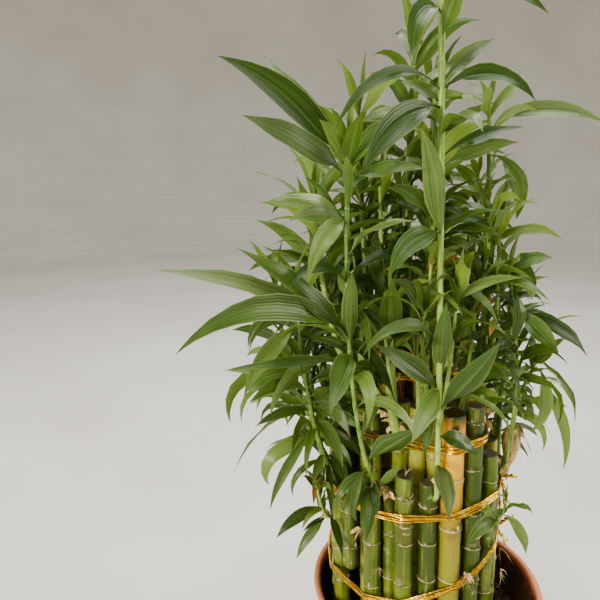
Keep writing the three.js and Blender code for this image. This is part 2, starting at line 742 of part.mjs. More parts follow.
// Each mass starts as its shoot and, on the rest of the crown, a side branch that leaves it low down.
function restShoot({ name, ring, bearing, reach, tip, leaves, branch, long = REST.long }, i) {
  const { radius, top } = RINGS[ring];
  const outward = (r, z) => polar(r, bearing + (i % 2 ? REST.veer : -REST.veer), z);
  return {
    name,
    ring,
    bearing,
    bend: outward(radius + (reach - radius) * REST.bendReach, top + (tip - top) * REST.bendRise).toArray(),
    tip: outward(reach, tip).toArray(),
    radius: REST.radius,
    leaves,
    from: REST.from,
    long,
    seed: REST.seed + i * REST.seedStep,
    leading: [],
    branch,
  };
}

const shoots = [...SHOOTS, ...REST_OF_CROWN.map(restShoot)];
const masses = shoots.map((shoot) => {
  const curve = {
    foot: footOf(shoot),
    bend: new THREE.Vector3(...shoot.bend),
    tip: new THREE.Vector3(...shoot.tip),
  };
  const bare = shoot.bare ?? 0;
  const towardsCane = rad((shoot.bearing ?? 0) + 180);
  if (shoot.bough) {
    keep(addMesh(shoot.bough, stretch(curve, shoot.radius, 0, bare, 6, 4, towardsCane), colours.shoot, 0.5), shoot.bough);
  }
  const start = bare && bare + GAP / curve.foot.distanceTo(curve.tip);
  const pieces = [solidOf(stretch(curve, shoot.radius, start, 1, 3, 5, towardsCane))];
  keep(pieces[0], shoot.name);
  return { shoot, curve, pieces, bare };
});

for (const mass of masses) {
  const { shoot, curve } = mass;
  if (!shoot.branch) continue;
  const upward = new THREE.Vector3(0, 0, 1);
  const centre = new THREE.Vector3(TOWER.x, TOWER.y, 0);
  const turned = (t, share) =>
    curvePoint(curve, t).sub(centre).applyAxisAngle(upward, rad(shoot.branch * share)).add(centre);
  mass.side = {
    foot: curvePoint(curve, BRANCH.start),
    bend: turned(BRANCH.bendAt, BRANCH.bendTurn),
    tip: turned(BRANCH.tipAt, 1),
  };
  const branch = solidOf(stretch(mass.side, shoot.radius * BRANCH.thickness, 0, 1, 3, 4));
  if (isFree(branch, shoot.name)) {
    mass.pieces.push(branch);
    keep(branch, shoot.name);
  } else mass.side = null;
}

function tryLeaf(mass, leaf, turns) {
  for (const turn of turns) {
    const turned = { ...leaf, bearing: leaf.bearing + turn };
    const blade = solidOf(leafGeometry(turned, LEAF.spare, LEAF.free));
    if (!isFree(solidOf(leafGeometry(turned, LEAF.spare)), mass.shoot.name, blade)) continue;
    const solid = solidOf(leafGeometry(turned));
    mass.pieces.push(solid);
    keep(solid, mass.shoot.name, blade);
    return true;
  }
  return false;
}

for (const mass of masses) {
  for (const [height, bearing, length, width, rise, droop] of mass.shoot.leading) {
    const base = curvePoint(mass.curve, heightOn(mass.curve, height));
    tryLeaf(mass, { base, bearing, length, width, rise, droop }, LEADING_TURNS);
  }
}
for (const mass of masses) {
  const random = seeded(mass.shoot.seed);
  const own = restLeaves({ ...mass.shoot, from: Math.max(mass.shoot.from, mass.bare + 0.03) }, mass.curve, random);
  if (mass.side) {
    const leaves = Math.round(mass.shoot.leaves * BRANCH.leaves);
    own.push(...restLeaves({ ...mass.shoot, leaves, from: BRANCH.from, seed: mass.shoot.seed + 5 }, mass.side, random));
  }
  for (const leaf of own) tryLeaf(mass, leaf, RULE_TURNS);
}
for (const { shoot, pieces } of masses) addMesh("mass_" + shoot.name, shellOf(joined(pieces)), colours.leaf, 0.45);

export default group;
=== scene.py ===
# %% [markdown]
# # A potted lucky bamboo
#
# The real plant is a tower of upright cut canes in four rings, the inner rings taller, tied with gold
# foil and planted in a terracotta pot. Leafy shoots grow from the sides of the canes, and one tall shoot
# stands in front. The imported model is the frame: every piece below is made in its coordinates, in metres,
# with the pot's underside at zero and the side seen in the photograph towards -Y.

import math

import bmesh
import bpy
import numpy as np
from mathutils import Matrix, Vector, noise
from mathutils.bvhtree import BVHTree
from mathutils.geometry import convex_hull_2d


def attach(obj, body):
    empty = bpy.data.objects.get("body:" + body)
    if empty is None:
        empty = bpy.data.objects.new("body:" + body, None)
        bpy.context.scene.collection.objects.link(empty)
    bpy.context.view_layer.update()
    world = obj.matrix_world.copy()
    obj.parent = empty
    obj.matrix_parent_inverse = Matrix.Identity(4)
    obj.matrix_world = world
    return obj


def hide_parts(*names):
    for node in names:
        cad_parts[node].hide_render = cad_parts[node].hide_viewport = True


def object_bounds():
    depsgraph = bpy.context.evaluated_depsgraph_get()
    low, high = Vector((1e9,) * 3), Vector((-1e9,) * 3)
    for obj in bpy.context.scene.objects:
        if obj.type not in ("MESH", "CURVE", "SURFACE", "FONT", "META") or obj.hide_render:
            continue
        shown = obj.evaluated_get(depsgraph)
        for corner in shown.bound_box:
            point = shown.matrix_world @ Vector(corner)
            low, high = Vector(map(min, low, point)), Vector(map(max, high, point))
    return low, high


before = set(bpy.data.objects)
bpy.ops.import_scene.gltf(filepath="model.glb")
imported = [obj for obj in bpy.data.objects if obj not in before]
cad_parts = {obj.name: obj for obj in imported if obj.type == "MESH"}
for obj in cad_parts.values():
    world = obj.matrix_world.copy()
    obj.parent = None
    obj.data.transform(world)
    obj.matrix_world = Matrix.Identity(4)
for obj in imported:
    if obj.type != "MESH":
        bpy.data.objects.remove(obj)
size_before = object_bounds()
print("frame holds", len(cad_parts), "nodes, from", size_before[0][:], "to", size_before[1][:])

# %% [markdown]
# Sizes are kept in millimetres, as a gardener would measure them, and turned to metres when a mesh is
# made. A plant is full of chance, but it has to grow the same way each time the script runs. So every
# stray length or turn is drawn from a seeded row of numbers, the same kind that the part's own source
# draws.

# %% Units and seeded numbers
MM = 0.001
FULL_TURN = 2 * math.pi
UP = Vector((0, 0, 1))
WORD = 0xFFFFFFFF


def seeded(seed):
    """Numbers from 0 to 1, the same ones each time for one seed."""
    state = seed & WORD

    def draw():
        nonlocal state
        state = (state + 0x6D2B79F5) & WORD
        t = state
        t = ((t ^ (t >> 15)) * (t | 1)) & WORD
        t = (t ^ (t + (((t ^ (t >> 7)) * (t | 61)) & WORD))) & WORD
        return (t ^ (t >> 14)) / 4294967296

    return draw


def spread(draw, amount):
    """A number from minus amount to plus amount."""
    return (draw() * 2 - 1) * amount


def level(turn, across=1.0):
    """A level direction at a turn in radians, as long as across."""
    return Vector((across * math.cos(turn), across * math.sin(turn), 0))


def uneven(place, size, depth):
    """Noise up to about depth high or low, in bumps that are about size wide."""
    return depth * noise.noise(place / size)


# %% [markdown]
# A mesh piece is made once, from a bmesh, and then rides on the plant's one body. The small function
# below does what every piece needs: it turns millimetres to metres, smooths the shading, gives the
# material and hides the solids of the frame that the piece stands for.


# %% Finish a piece
def add_piece(name, bm, material, stands_for, smooth=True):
    """Turns a bmesh in millimetres into a piece that replaces nodes of the frame."""
    mesh = bpy.data.meshes.new(name)
    bm.to_mesh(mesh)
    bm.free()
    add_mesh_piece(name, mesh, material, stands_for, smooth)


def add_mesh_piece(name, mesh, material, stands_for, smooth=True):
    """Puts a mesh in millimetres into the scene as a piece that replaces nodes of the frame."""
    mesh.transform(Matrix.Scale(MM, 4))
    mesh.polygons.foreach_set("use_smooth", [smooth] * len(mesh.polygons))
    mesh.materials.append(material)
    piece = bpy.data.objects.new(name, mesh)
    bpy.context.scene.collection.objects.link(piece)
    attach(piece, "root")
    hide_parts(*stands_for)
    print(name, len(mesh.polygons), "faces")


# %% [markdown]
# ## Finishes
#
# Each material is started from what the real surface is. Colours are picked as sRGB hex values and turned
# to linear light by one function, and one small function adds a shader node with its settings and its
# links.


# %% Colour and node helpers
def linear(hex_colour):
    """An sRGB hex colour as linear red, green, blue and alpha."""
    channels = [int(hex_colour[i : i + 2], 16) / 255 for i in (1, 3, 5)]
    curve = [c / 12.92 if c <= 0.04045 else ((c + 0.055) / 1.055) ** 2.4 for c in channels]
    return (*curve, 1.0)


def add(tree, kind, inputs=None, out=0, stops=None, **settings):
    """Adds a shader node and returns one output; inputs maps a socket to a value or to another output."""
    made = tree.nodes.new("ShaderNode" + kind)
    for name, value in settings.items():
        setattr(made, name, value)
    for socket, value in (inputs or {}).items():
        if isinstance(value, bpy.types.NodeSocket):
            tree.links.new(value, made.inputs[socket])
        else:
            made.inputs[socket].default_value = value
    if stops:
        elements = made.color_ramp.elements
        elements.remove(elements[1])
        elements[0].position, elements[0].color = stops[0][0], linear(stops[0][1])
        for place, colour in stops[1:]:
            elements.new(place).color = linear(colour)
    return made.outputs[out]


SOFT = {"interpolation_type": "SMOOTHSTEP"}
COLOURS = {"data_type": "RGBA", "out": 2}


def layered(tree, colour, layers):
    """Lays colours over a first one; each row: a value, where it starts and ends, how much, the colour."""
    for value, low, high, most, over in layers:
        amount = add(tree, "MapRange", {0: value, 1: low, 2: high, 4: most}, **SOFT)
        colour = add(tree, "Mix", {0: amount, 6: colour, 7: linear(over)}, **COLOURS)
    return colour


def grains(size_mm):
    """The scale of an even pattern whose grains are about size_mm wide."""
    return 1 / (size_mm * MM)


def patches(size_mm, longer=1):
    """The scale of a pattern whose patches are about size_mm wide, and longer upwards by a factor."""
    return (grains(size_mm), grains(size_mm), grains(size_mm) / longer)


def start_finish(name, roughness, ior=1.5, metallic=0.0):
    """A new material: its node tree, its main shader and its Object coordinates."""
    made = bpy.data.materials.new(name)
    made.use_nodes = True
    tree, shader = made.node_tree, made.node_tree.nodes["Principled BSDF"]
    shader.inputs["Roughness"].default_value = roughness
    shader.inputs["IOR"].default_value = ior
    shader.inputs["Metallic"].default_value = metallic
    return made, tree, shader, add(tree, "TexCoord", out="Object")


def wire(tree, shader, **values):
    """Links values to the shader's sockets of those names."""
    for socket, value in values.items():
        tree.links.new(value, shader.inputs[socket.replace("_", " ")])


# %% [markdown]
# The pot is fired earthenware, terracotta: a matt, porous, orange clay. Its colour clouds over tens of
# millimetres, it is grained at one or two millimetres, the lip is rubbed paler and pinker, and the inside
# and the foot of the band are stained by damp soil. The inside is painted darker still than its stain, as
# painted shade. A stain could be placed by height alone, but the lip, the band and the inside share their
# heights, so two marks on the mesh, one for soil stain and painted shade and one for the rubbed lip, say
# where each is.


# %% Terracotta
def terracotta():
    made, tree, shader, place = start_finish("fired terracotta", roughness=0.72)
    soiled_and_shaded = add(tree, "Attribute", out="Fac", attribute_name="soiled_and_shaded")
    rubbed = add(tree, "Attribute", out="Fac", attribute_name="rubbed")
    flat = add(tree, "Mapping", {0: place, "Scale": patches(45, 0.5)})
    clouds = add(tree, "TexNoise", {0: flat, "Scale": 1.0, "Detail": 4.0})
    grain = add(tree, "TexNoise", {0: place, "Scale": grains(1.613), "Detail": 3.0})
    spots = add(tree, "TexNoise", {0: place, "Scale": grains(16.13), "Detail": 6.0})
    # Soil stains, deepened on the inside of the pot as painted shade.
    dirt = add(tree, "Math", {0: spots, 1: 0.6, 2: soiled_and_shaded}, operation="MULTIPLY_ADD")
    stops = [(0.3, "#9E4E32"), (0.5, "#B25F40"), (0.72, "#C07050")]
    colour = add(tree, "ValToRGB", {0: clouds}, stops=stops)
    layers = [
        (grain, 0.58, 0.75, 0.35, "#8C3F24"),
        (rubbed, 0, 1, 1, "#CF8A6C"),
        (dirt, 0.4, 1.2, 0.97, "#2A160E"),
    ]
    relief = add(tree, "Bump", {"Height": grain, "Distance": 0.35 * MM, "Strength": 0.5})
    wire(tree, shader, Base_Color=layered(tree, colour, layers), Normal=relief)
    return made


clay = terracotta()


# %% [markdown]
# Potting soil is crumbled bark, peat and root ends: almost black when damp, with brown and a few pale
# bits. One noise of 5 mm crumbs gives both the colour and the relief, so each pale bit also stands up.


# %% Potting soil
def damp_soil():
    made, tree, shader, place = start_finish("damp potting soil", roughness=0.95, ior=1.33)
    crumbs = add(tree, "TexNoise", {0: place, "Scale": grains(5), "Detail": 5.0})
    stops = [(0.35, "#140D09"), (0.52, "#33231A"), (0.66, "#5A4232"), (0.8, "#8B735A")]
    relief = add(tree, "Bump", {"Height": crumbs, "Distance": 2.5 * MM, "Strength": 0.9})
    wire(tree, shader, Base_Color=add(tree, "ValToRGB", {0: crumbs}, stops=stops), Normal=relief)
    return made


soil_finish = damp_soil()

# %% [markdown]
# A cane has a waxy green skin. Fine streaks run along it; each cane has its own tone; the ring left by
# each old leaf is a pale, corky line with a brown edge; the saw cut at the top has dried grey-brown. The
# rings stand at other heights on each cane, so no pattern could draw them: marks on the mesh say where a
# ring (ringed) and a cut (sawn) are, and the mark tone is dealt out cane by cane. On canes that stand in
# shade the tone is lowered, which paints their shade into the skin.

# %% Cane skin
MARKS = ("ringed", "sawn", "tone")


def cane_skin(name, greens):
    made, tree, shader, place = start_finish(name, roughness=0.36, ior=1.45)
    ringed, sawn, tone = [add(tree, "Attribute", out="Fac", attribute_name=mark) for mark in MARKS]
    tall = add(tree, "Mapping", {0: place, "Scale": patches(34, 2)})
    clouds = add(tree, "TexNoise", {0: tall, "Scale": 1.0, "Detail": 3.0})
    pick = add(tree, "Math", {0: clouds, 1: 1.6, 2: tone}, operation="MULTIPLY_ADD")
    pick = add(tree, "MapRange", {0: pick, 1: 0.4, 2: 2.1}, **SOFT)
    colour = add(tree, "ValToRGB", {0: pick}, stops=[(i / 3, green) for i, green in enumerate(greens)])
    drawn_out = add(tree, "Mapping", {0: place, "Scale": patches(3.2, 22)})
    streaks = add(tree, "TexNoise", {0: drawn_out, "Scale": 1.0, "Detail": 2.0})
    scuffs = add(tree, "TexNoise", {0: place, "Scale": grains(12.5), "Detail": 5.0})
    stains = add(tree, "TexNoise", {0: place, "Scale": grains(7.143), "Detail": 6.0})
    flakes = add(tree, "TexNoise", {0: place, "Scale": grains(4.167), "Detail": 4.0})
    halo = add(tree, "Math", {0: scuffs, 1: 0.8, 2: ringed}, operation="MULTIPLY_ADD")
    corky = add(tree, "Math", {0: flakes, 1: 1.5, 2: ringed}, operation="MULTIPLY_ADD")
    dirty = add(tree, "Math", {0: flakes, 1: 0.5, 2: sawn}, operation="MULTIPLY_ADD")
    layers = [
        (streaks, 0.5, 0.72, 0.3, greens[0]),
        (streaks, 0.46, 0.3, 0.25, greens[3]),
        (scuffs, 0.64, 0.7, 0.45, "#B9BD93"),
        (stains, 0.66, 0.74, 0.6, "#3E3A20"),
        (halo, 0.5, 0.95, 0.55, "#5A4E26"),
        (corky, 1.58, 1.78, 0.8, "#C9BE94"),
        (dirty, 0.35, 0.95, 0.96, "#635A4A"),
    ]
    relief = add(tree, "Bump", {"Height": streaks, "Distance": 0.25 * MM, "Strength": 0.5})
    rough = add(tree, "MapRange", {0: scuffs, 3: 0.26, 4: 0.5})
    wire(tree, shader, Base_Color=layered(tree, colour, layers), Roughness=rough, Normal=relief)
    return made


green_skin = cane_skin("green cane skin", ["#42541A", "#687B2B", "#A0A845", "#D0CA70"])

# %% [markdown]
# One front cane has yellowed: orange above and pale yellow-green below, with a brown bud scar. Its colour
# follows its height, from the soil at 180 mm to its cut at 474 mm. A plain ramp over the height would end
# in straight lines, so a noise first makes the height wavy, and the ramp's ends allow for the 30 mm that
# this adds.


# %% Yellowed cane skin
def yellowed_skin():
    made, tree, shader, place = start_finish("yellowed cane skin", roughness=0.36, ior=1.45)
    ringed, sawn = [add(tree, "Attribute", out="Fac", attribute_name=mark) for mark in MARKS[:2]]
    height = add(tree, "SeparateXYZ", {0: place}, out="Z")
    tall = add(tree, "Mapping", {0: place, "Scale": patches(22, 2)})
    clouds = add(tree, "TexNoise", {0: tall, "Scale": 1.0, "Detail": 3.0})
    wavy = add(tree, "Math", {0: clouds, 1: 0.06, 2: height}, operation="MULTIPLY_ADD")
    up = add(tree, "MapRange", {0: wavy, 1: 0.21, 2: 0.51})
    stops = [(0.0, "#7C8C2E"), (0.35, "#8A8E32"), (0.6, "#998C30"), (0.72, "#CFA034")]
    stops += [(0.82, "#F8BE45"), (0.93, "#EBA946"), (0.975, "#4F5A2A")]
    drawn_out = add(tree, "Mapping", {0: place, "Scale": patches(3, 20)})
    streaks = add(tree, "TexNoise", {0: drawn_out, "Scale": 1.0, "Detail": 2.0})
    scuffs = add(tree, "TexNoise", {0: place, "Scale": grains(9.091), "Detail": 5.0})
    layers = [
        (streaks, 0.55, 0.72, 0.3, "#B98A3A"),
        (scuffs, 0.62, 0.7, 0.6, "#7A4A22"),
        (ringed, 0.1, 0.4, 0.6, "#7E6430"),
        (ringed, 0.6, 0.9, 0.55, "#DFD6A8"),
        (sawn, 0.1, 0.6, 0.95, "#33291C"),
    ]
    colour = layered(tree, add(tree, "ValToRGB", {0: up}, stops=stops), layers)
    relief = add(tree, "Bump", {"Height": streaks, "Distance": 0.25 * MM, "Strength": 0.5})
    wire(tree, shader, Base_Color=colour, Normal=relief)
    return made


yellow_skin = yellowed_skin()

# %% [markdown]
# A dead cane and the dry husks are bare plant fibre: no wax is left, so they are matt, and every fibre
# shows as a long fine streak. The same recipe serves both, with darker or paler colours.


# %% Dry fibre
def dry_fibre(name, colours, fibre_mm, depth_mm, mottled=0.6):
    made, tree, shader, place = start_finish(name, roughness=0.85, ior=1.4)
    drawn_out = add(tree, "Mapping", {0: place, "Scale": patches(fibre_mm, 14)})
    fibres = add(tree, "TexNoise", {0: drawn_out, "Scale": 1.0, "Detail": 4.0})
    mottles = add(tree, "TexNoise", {0: place, "Scale": grains(13.33), "Detail": 4.0})
    stops = [(0.3 + 0.4 * i / (len(colours) - 1), colour) for i, colour in enumerate(colours)]
    colour = add(tree, "ValToRGB", {0: fibres}, stops=stops)
    colour = layered(tree, colour, [(mottles, 0.55, 0.7, mottled, colours[0])])
    relief = add(tree, "Bump", {"Height": fibres, "Distance": depth_mm * MM, "Strength": 0.9})
    wire(tree, shader, Base_Color=colour, Normal=relief)
    return made


dead_fibre = dry_fibre("dead cane fibre", ["#1E120B", "#4A2E1E", "#7B5138", "#A17B58"], 2.2, 1.6)
husk_fibre = dry_fibre("papery husk", ["#9A6C38", "#DDB980", "#EFD3A2", "#F7E6C4"], 1.8, 0.8, 0.5)
root_fibre = dry_fibre("rootlets and buds", ["#5E4A2C", "#967E58", "#C2B08C", "#DDD2B6"], 1.5, 0.4)

# %% [markdown]
# The ties are plastic straw wrapped in gold foil: a true metal, so it takes its colour from what it
# mirrors. The foil is crinkled every 8 mm round the tower and every 1.3 mm upwards, and worn through to
# brown in patches. The crinkles are a bump, since real folds this fine would need more faces than the
# canes have. The foil's colour also follows the crinkles, deep gold in the folds and pale gold on the
# crests: painted shade and painted highlights.


# %% Gold foil
def gold_foil():
    made, tree, shader, place = start_finish("crinkled gold foil", roughness=0.3, metallic=1.0)
    flat = add(tree, "Mapping", {0: place, "Scale": patches(7.6923, 13 / 77)})
    crinkles_and_painted_sheen = add(tree, "TexNoise", {0: flat, "Scale": 1.0, "Detail": 3.0})
    worn = add(tree, "TexNoise", {0: flat, "Scale": 0.62, "Detail": 5.0})
    stops = [(0.3, "#B07C1C"), (0.5, "#E8BA3E"), (0.7, "#FBE08A")]
    # Deep gold in the folds and pale gold on the crests: painted shade and painted highlights.
    colour = add(tree, "ValToRGB", {0: crinkles_and_painted_sheen}, stops=stops)
    relief = add(tree, "Bump", {"Height": crinkles_and_painted_sheen, "Distance": 0.6 * MM, "Strength": 0.7})
    rough = add(tree, "MapRange", {0: worn, 1: 0.58, 2: 0.68, 3: 0.24, 4: 0.6})
    colour = layered(tree, colour, [(worn, 0.6, 0.68, 0.85, "#4A2C10")])
    wire(tree, shader, Base_Color=colour, Roughness=rough, Normal=relief)
    return made


foil = gold_foil()

# %% [markdown]
# Young stems are soft and pale green. Each leaf's foot wraps round the stem as a sheath, whose upper edge
# is a thin paler line, with a darker band beside it. The same mark as on the canes, ringed, draws both,
# so that each line sits where the stem's mesh steps in.


# %% Stem skin
def stem_skin():
    made, tree, shader, place = start_finish("young stem skin", roughness=0.42, ior=1.45)
    ringed, tone = [add(tree, "Attribute", out="Fac", attribute_name=mark) for mark in ("ringed", "tone")]
    drawn_out = add(tree, "Mapping", {0: place, "Scale": patches(2, 16)})
    streaks = add(tree, "TexNoise", {0: drawn_out, "Scale": 1.0, "Detail": 2.0})
    pick = add(tree, "Math", {0: streaks, 1: 1.3, 2: tone}, operation="MULTIPLY_ADD")
    stops = [(0.35, "#4C702A"), (0.7, "#7E9E48"), (1.0, "#ACC46C")]
    layers = [(ringed, 0.1, 0.5, 0.35, "#5D7434"), (ringed, 0.7, 1.0, 0.35, "#D6DCA6")]
    colour = layered(tree, add(tree, "ValToRGB", {0: pick}, stops=stops), layers)
    relief = add(tree, "Bump", {"Height": streaks, "Distance": 0.15 * MM, "Strength": 0.4})
    wire(tree, shader, Base_Color=colour, Normal=relief)
    return made


young_stem = stem_skin()

# %% [markdown]
# A leaf blade is glossy and lets some light through. Its veins run side by side along it and bend with
# it, which a pattern in space can't follow, so the pattern reads the blade's own map: U goes across and V
# from the foot to the tip. The midrib and the margins are paler, each leaf has its own tone, and some
# tips have dried (the mark dry says how far down). There are five kinds: old leaves, and leaves in the
# shade low and inside the crown, are deep green, which paints that shade into their colour; most are mid
# green, a few in full light are olive, young ones are fresh, and the dying ones inside the crown are
# yellow. The veins are drawn coarser than real ones, nine to a blade, because finer ones wouldn't show.

# %% Leaf blade
VEINS = 9
LET_THROUGH = 0.28


def leaf_blade(name, dark, middle, light, through, gloss):
    made, tree, shader, place = start_finish(name, roughness=gloss, ior=1.45)
    flat = add(tree, "UVMap", uv_map="blade")
    across, along = [add(tree, "SeparateXYZ", {0: flat}, out=axis) for axis in "XY"]
    tone, dry = [add(tree, "Attribute", out="Fac", attribute_name=mark) for mark in ("tone", "dry")]
    clouds = add(tree, "TexNoise", {0: place, "Scale": grains(26.32), "Detail": 3.0})
    pick = add(tree, "Math", {0: clouds, 1: 0.5, 2: tone}, operation="MULTIPLY_ADD")
    colour = add(tree, "ValToRGB", {0: pick}, stops=[(0.1, dark), (0.6, middle), (0.92, light)])
    turns = add(tree, "Math", {0: across, 1: FULL_TURN * VEINS}, operation="MULTIPLY")
    veins = add(tree, "Math", {0: turns}, operation="COSINE")
    own = add(tree, "CombineXYZ", {0: across, 1: along, 2: tone})
    lengthwise = add(tree, "Mapping", {0: own, "Scale": (13, 0.9, 40)})
    streaks = add(tree, "TexNoise", {0: lengthwise, "Scale": 1.0, "Detail": 2.0})
    aside = add(tree, "Math", {0: across, 1: 0.5}, operation="SUBTRACT")
    aside = add(tree, "Math", {0: aside}, operation="ABSOLUTE")
    wavy = add(tree, "Math", {0: clouds, 1: 0.1, 2: along}, operation="MULTIPLY_ADD")
    dried = add(tree, "Math", {0: dry, 1: 0.15, 2: wavy}, operation="MULTIPLY_ADD")
    layers = [
        (veins, 0.0, 1.0, 0.14, light),
        (streaks, 0.52, 0.74, 0.5, light),
        (streaks, 0.5, 0.3, 0.6, dark),
        (aside, 0.07, 0.0, 0.45, light),
        (aside, 0.455, 0.5, 0.4, "#C3D08A"),
        (dried, 1.1, 1.18, 1.0, "#93602F"),
    ]
    colour = layered(tree, colour, layers)
    relief = add(tree, "Bump", {"Height": veins, "Distance": 0.12 * MM, "Strength": 0.35})
    wire(tree, shader, Base_Color=colour, Normal=relief)
    shone_through = add(tree, "Mix", {0: 0.55, 6: colour, 7: linear(through)}, **COLOURS)
    glow = add(tree, "BsdfTranslucent", {"Color": shone_through})
    both = add(tree, "MixShader", {0: LET_THROUGH, 1: shader.outputs[0], 2: glow})
    tree.links.new(both, tree.nodes["Material Output"].inputs["Surface"])
    return made


LEAF_KINDS = {
    # The deep kind stands for old leaves and also for leaves in the shade of the crown: painted shade.
    "deep": leaf_blade("old and shaded leaf blade", "#24361A", "#3A5223", "#60793E", "#6E8C30", 0.24),
    "mid": leaf_blade("grown leaf blade", "#2D4620", "#4B6730", "#7B9450", "#86A236", 0.27),
    "olive": leaf_blade("sunned leaf blade", "#293C20", "#435A30", "#70824F", "#6E823C", 0.3),
    "fresh": leaf_blade("young leaf blade", "#37511D", "#56722D", "#84984E", "#90A840", 0.32),
    "dying": leaf_blade("dying leaf blade", "#8C7A22", "#C29A35", "#DDB560", "#D9A83A", 0.5),
}
print("finishes:", len(bpy.data.materials))

# %% [markdown]
# ## The pot
#
# A clay pot is thrown or pressed round, so its outline is drawn once and spun about the upright axis. The
# wall is 7 mm thick, the lip is rounded, and a flared band 48 mm tall with a faint ridge sits above a
# soft S curve. A cylinder with insets and bevels could make it too, but the outline also carries the
# marks for soil stains and for the rubbed lip, and the spin copies them all round.

# %% Pot outline
# Each point: radius, height, how soiled and shaded, how rubbed.
POT_OUTLINE = [
    (0, 0, 0.2, 0), (76, 0, 0.3, 0), (78.8, 0.6, 0.4, 0.3), (80, 2.5, 0.45, 0.2), (86, 33, 0.2, 0),
    (92.2, 64, 0.12, 0), (98.6, 96, 0.1, 0), (104.6, 127, 0.12, 0), (109.2, 150, 0.18, 0),
    (111, 159, 0.25, 0), (111.9, 165, 0.4, 0), (113, 170, 0.55, 0), (115.2, 174, 0.75, 0),
    (117.6, 176.6, 0.8, 0.1), (118.6, 179, 0.6, 0.25), (119.4, 184, 0.35, 0), (123, 198, 0.2, 0),
    (124.4, 200, 0.25, 0.2), (124.6, 202.5, 0.2, 0), (127.4, 213, 0.15, 0), (129.4, 219.5, 0.12, 0.3),
    (129.9, 222, 0.1, 0.7), (129.2, 223.9, 0.08, 0.85), (127.6, 225, 0.08, 0.9), (125.6, 225, 0.1, 0.9),
    (124, 224, 0.15, 0.8), (123.1, 222, 0.3, 0.4), (121.6, 215, 0.75, 0), (117.6, 200, 0.95, 0),
    (112.4, 183, 0.95, 0), (110.2, 177, 1, 0), (104, 159, 1, 0), (88, 80, 1, 0), (73, 10, 1, 0),
    (0, 10, 1, 0),
]

# %% Spin the pot
POT_STEPS = 96


def spun(outline, steps, marks):
    """A bmesh of an outline of (radius, height, mark values) spun once about the upright axis."""
    bm = bmesh.new()
    layers = [bm.verts.layers.float.new(mark) for mark in marks]
    points = []
    for radius, height, *values in outline:
        points.append(bm.verts.new((radius, 0, height)))
        for layer, value in zip(layers, values):
            points[-1][layer] = value
    edges = [bm.edges.new(pair) for pair in zip(points, points[1:])]
    turn = {"cent": (0, 0, 0), "axis": (0, 0, 1), "angle": FULL_TURN, "steps": steps, "use_merge": True}
    bmesh.ops.spin(bm, geom=points + edges, **turn)
    bmesh.ops.remove_doubles(bm, verts=bm.verts, dist=1e-3)
    bmesh.ops.recalc_face_normals(bm, faces=bm.faces)
    return bm


pot = spun(POT_OUTLINE, POT_STEPS, ("soiled_and_shaded", "rubbed"))
for vertex in pot.verts:
    vertex.co += Vector((vertex.co.x, vertex.co.y, 0)).normalized() * uneven(vertex.co, size=55, depth=0.5)
add_piece("clay_pot", pot, clay, ["pot"])

# %% [markdown]
# The soil fills the pot to 45 mm under the rim. Its surface is spun as a fine disc and then heaved by
# noise, and crumbs of bark lie on it, each a small crushed ball. The square root spreads the crumbs
# evenly: without it they would crowd round the middle.

# %% Soil and crumbs
SOIL_TOP, SOIL_RADIUS = 180, 111.5
SOIL_BELOW = [(SOIL_RADIUS, 176), (72, 12), (0, 12)]
SOIL_RINGS, SOIL_STEPS = 46, 110
SOIL_SETTLED = 0.8
CRUMBS = 300
# Length, width and thickness of a crumb: the least, and how much more it may be.
CRUMB_LEAST, CRUMB_MORE = (1.2, 1, 0.8), (3.4, 2, 1.2)
soil_outline = [(r, SOIL_TOP) for r in np.linspace(0, SOIL_RADIUS, SOIL_RINGS)] + SOIL_BELOW
soil = spun(soil_outline, SOIL_STEPS, ())
for vertex in soil.verts:
    if vertex.co.z > SOIL_TOP - 1:
        vertex.co.z += uneven(vertex.co, 14, 2.4) + uneven(vertex.co, 5, 1.5) - SOIL_SETTLED
draw = seeded(5)
for _ in range(CRUMBS):
    turn, reach = draw() * FULL_TURN, SOIL_RADIUS * math.sqrt(draw()) - 3
    place = level(turn, reach) + UP * (SOIL_TOP + 0.6)
    size = Vector([least + more * draw() for least, more in zip(CRUMB_LEAST, CRUMB_MORE)])
    matrix = Matrix.LocRotScale(place, Matrix.Rotation(draw() * 6, 3, "Z"), size)
    bmesh.ops.create_icosphere(soil, subdivisions=1, radius=1, matrix=matrix)
add_piece("potting_soil", soil, soil_finish, ["soil"], smooth=False)

# %% [markdown]
# ## The canes
#
# The tower is rings of cut canes about one axis, which leans a little to the left. The canes that show
# one by one have their own rows; the rest stand in clumps and are worked out from a first bearing and a
# spacing, exactly as in the solids. Bearings are in degrees, from +X round to +Y, so 270 faces the view.

# %% Where the canes stand
TOWER = (-12, 0)
LEAN = -0.03
CANE_FOOT = SOIL_TOP + 0.3
# Each ring: its radius and the usual height of its canes' tops.
RINGS = {"outer": (87, 400), "right": (80, 400), "inset": (75, 386)}
RINGS |= {"second": (55, 463), "third": (35.4, 525), "core": (12.2, 590)}
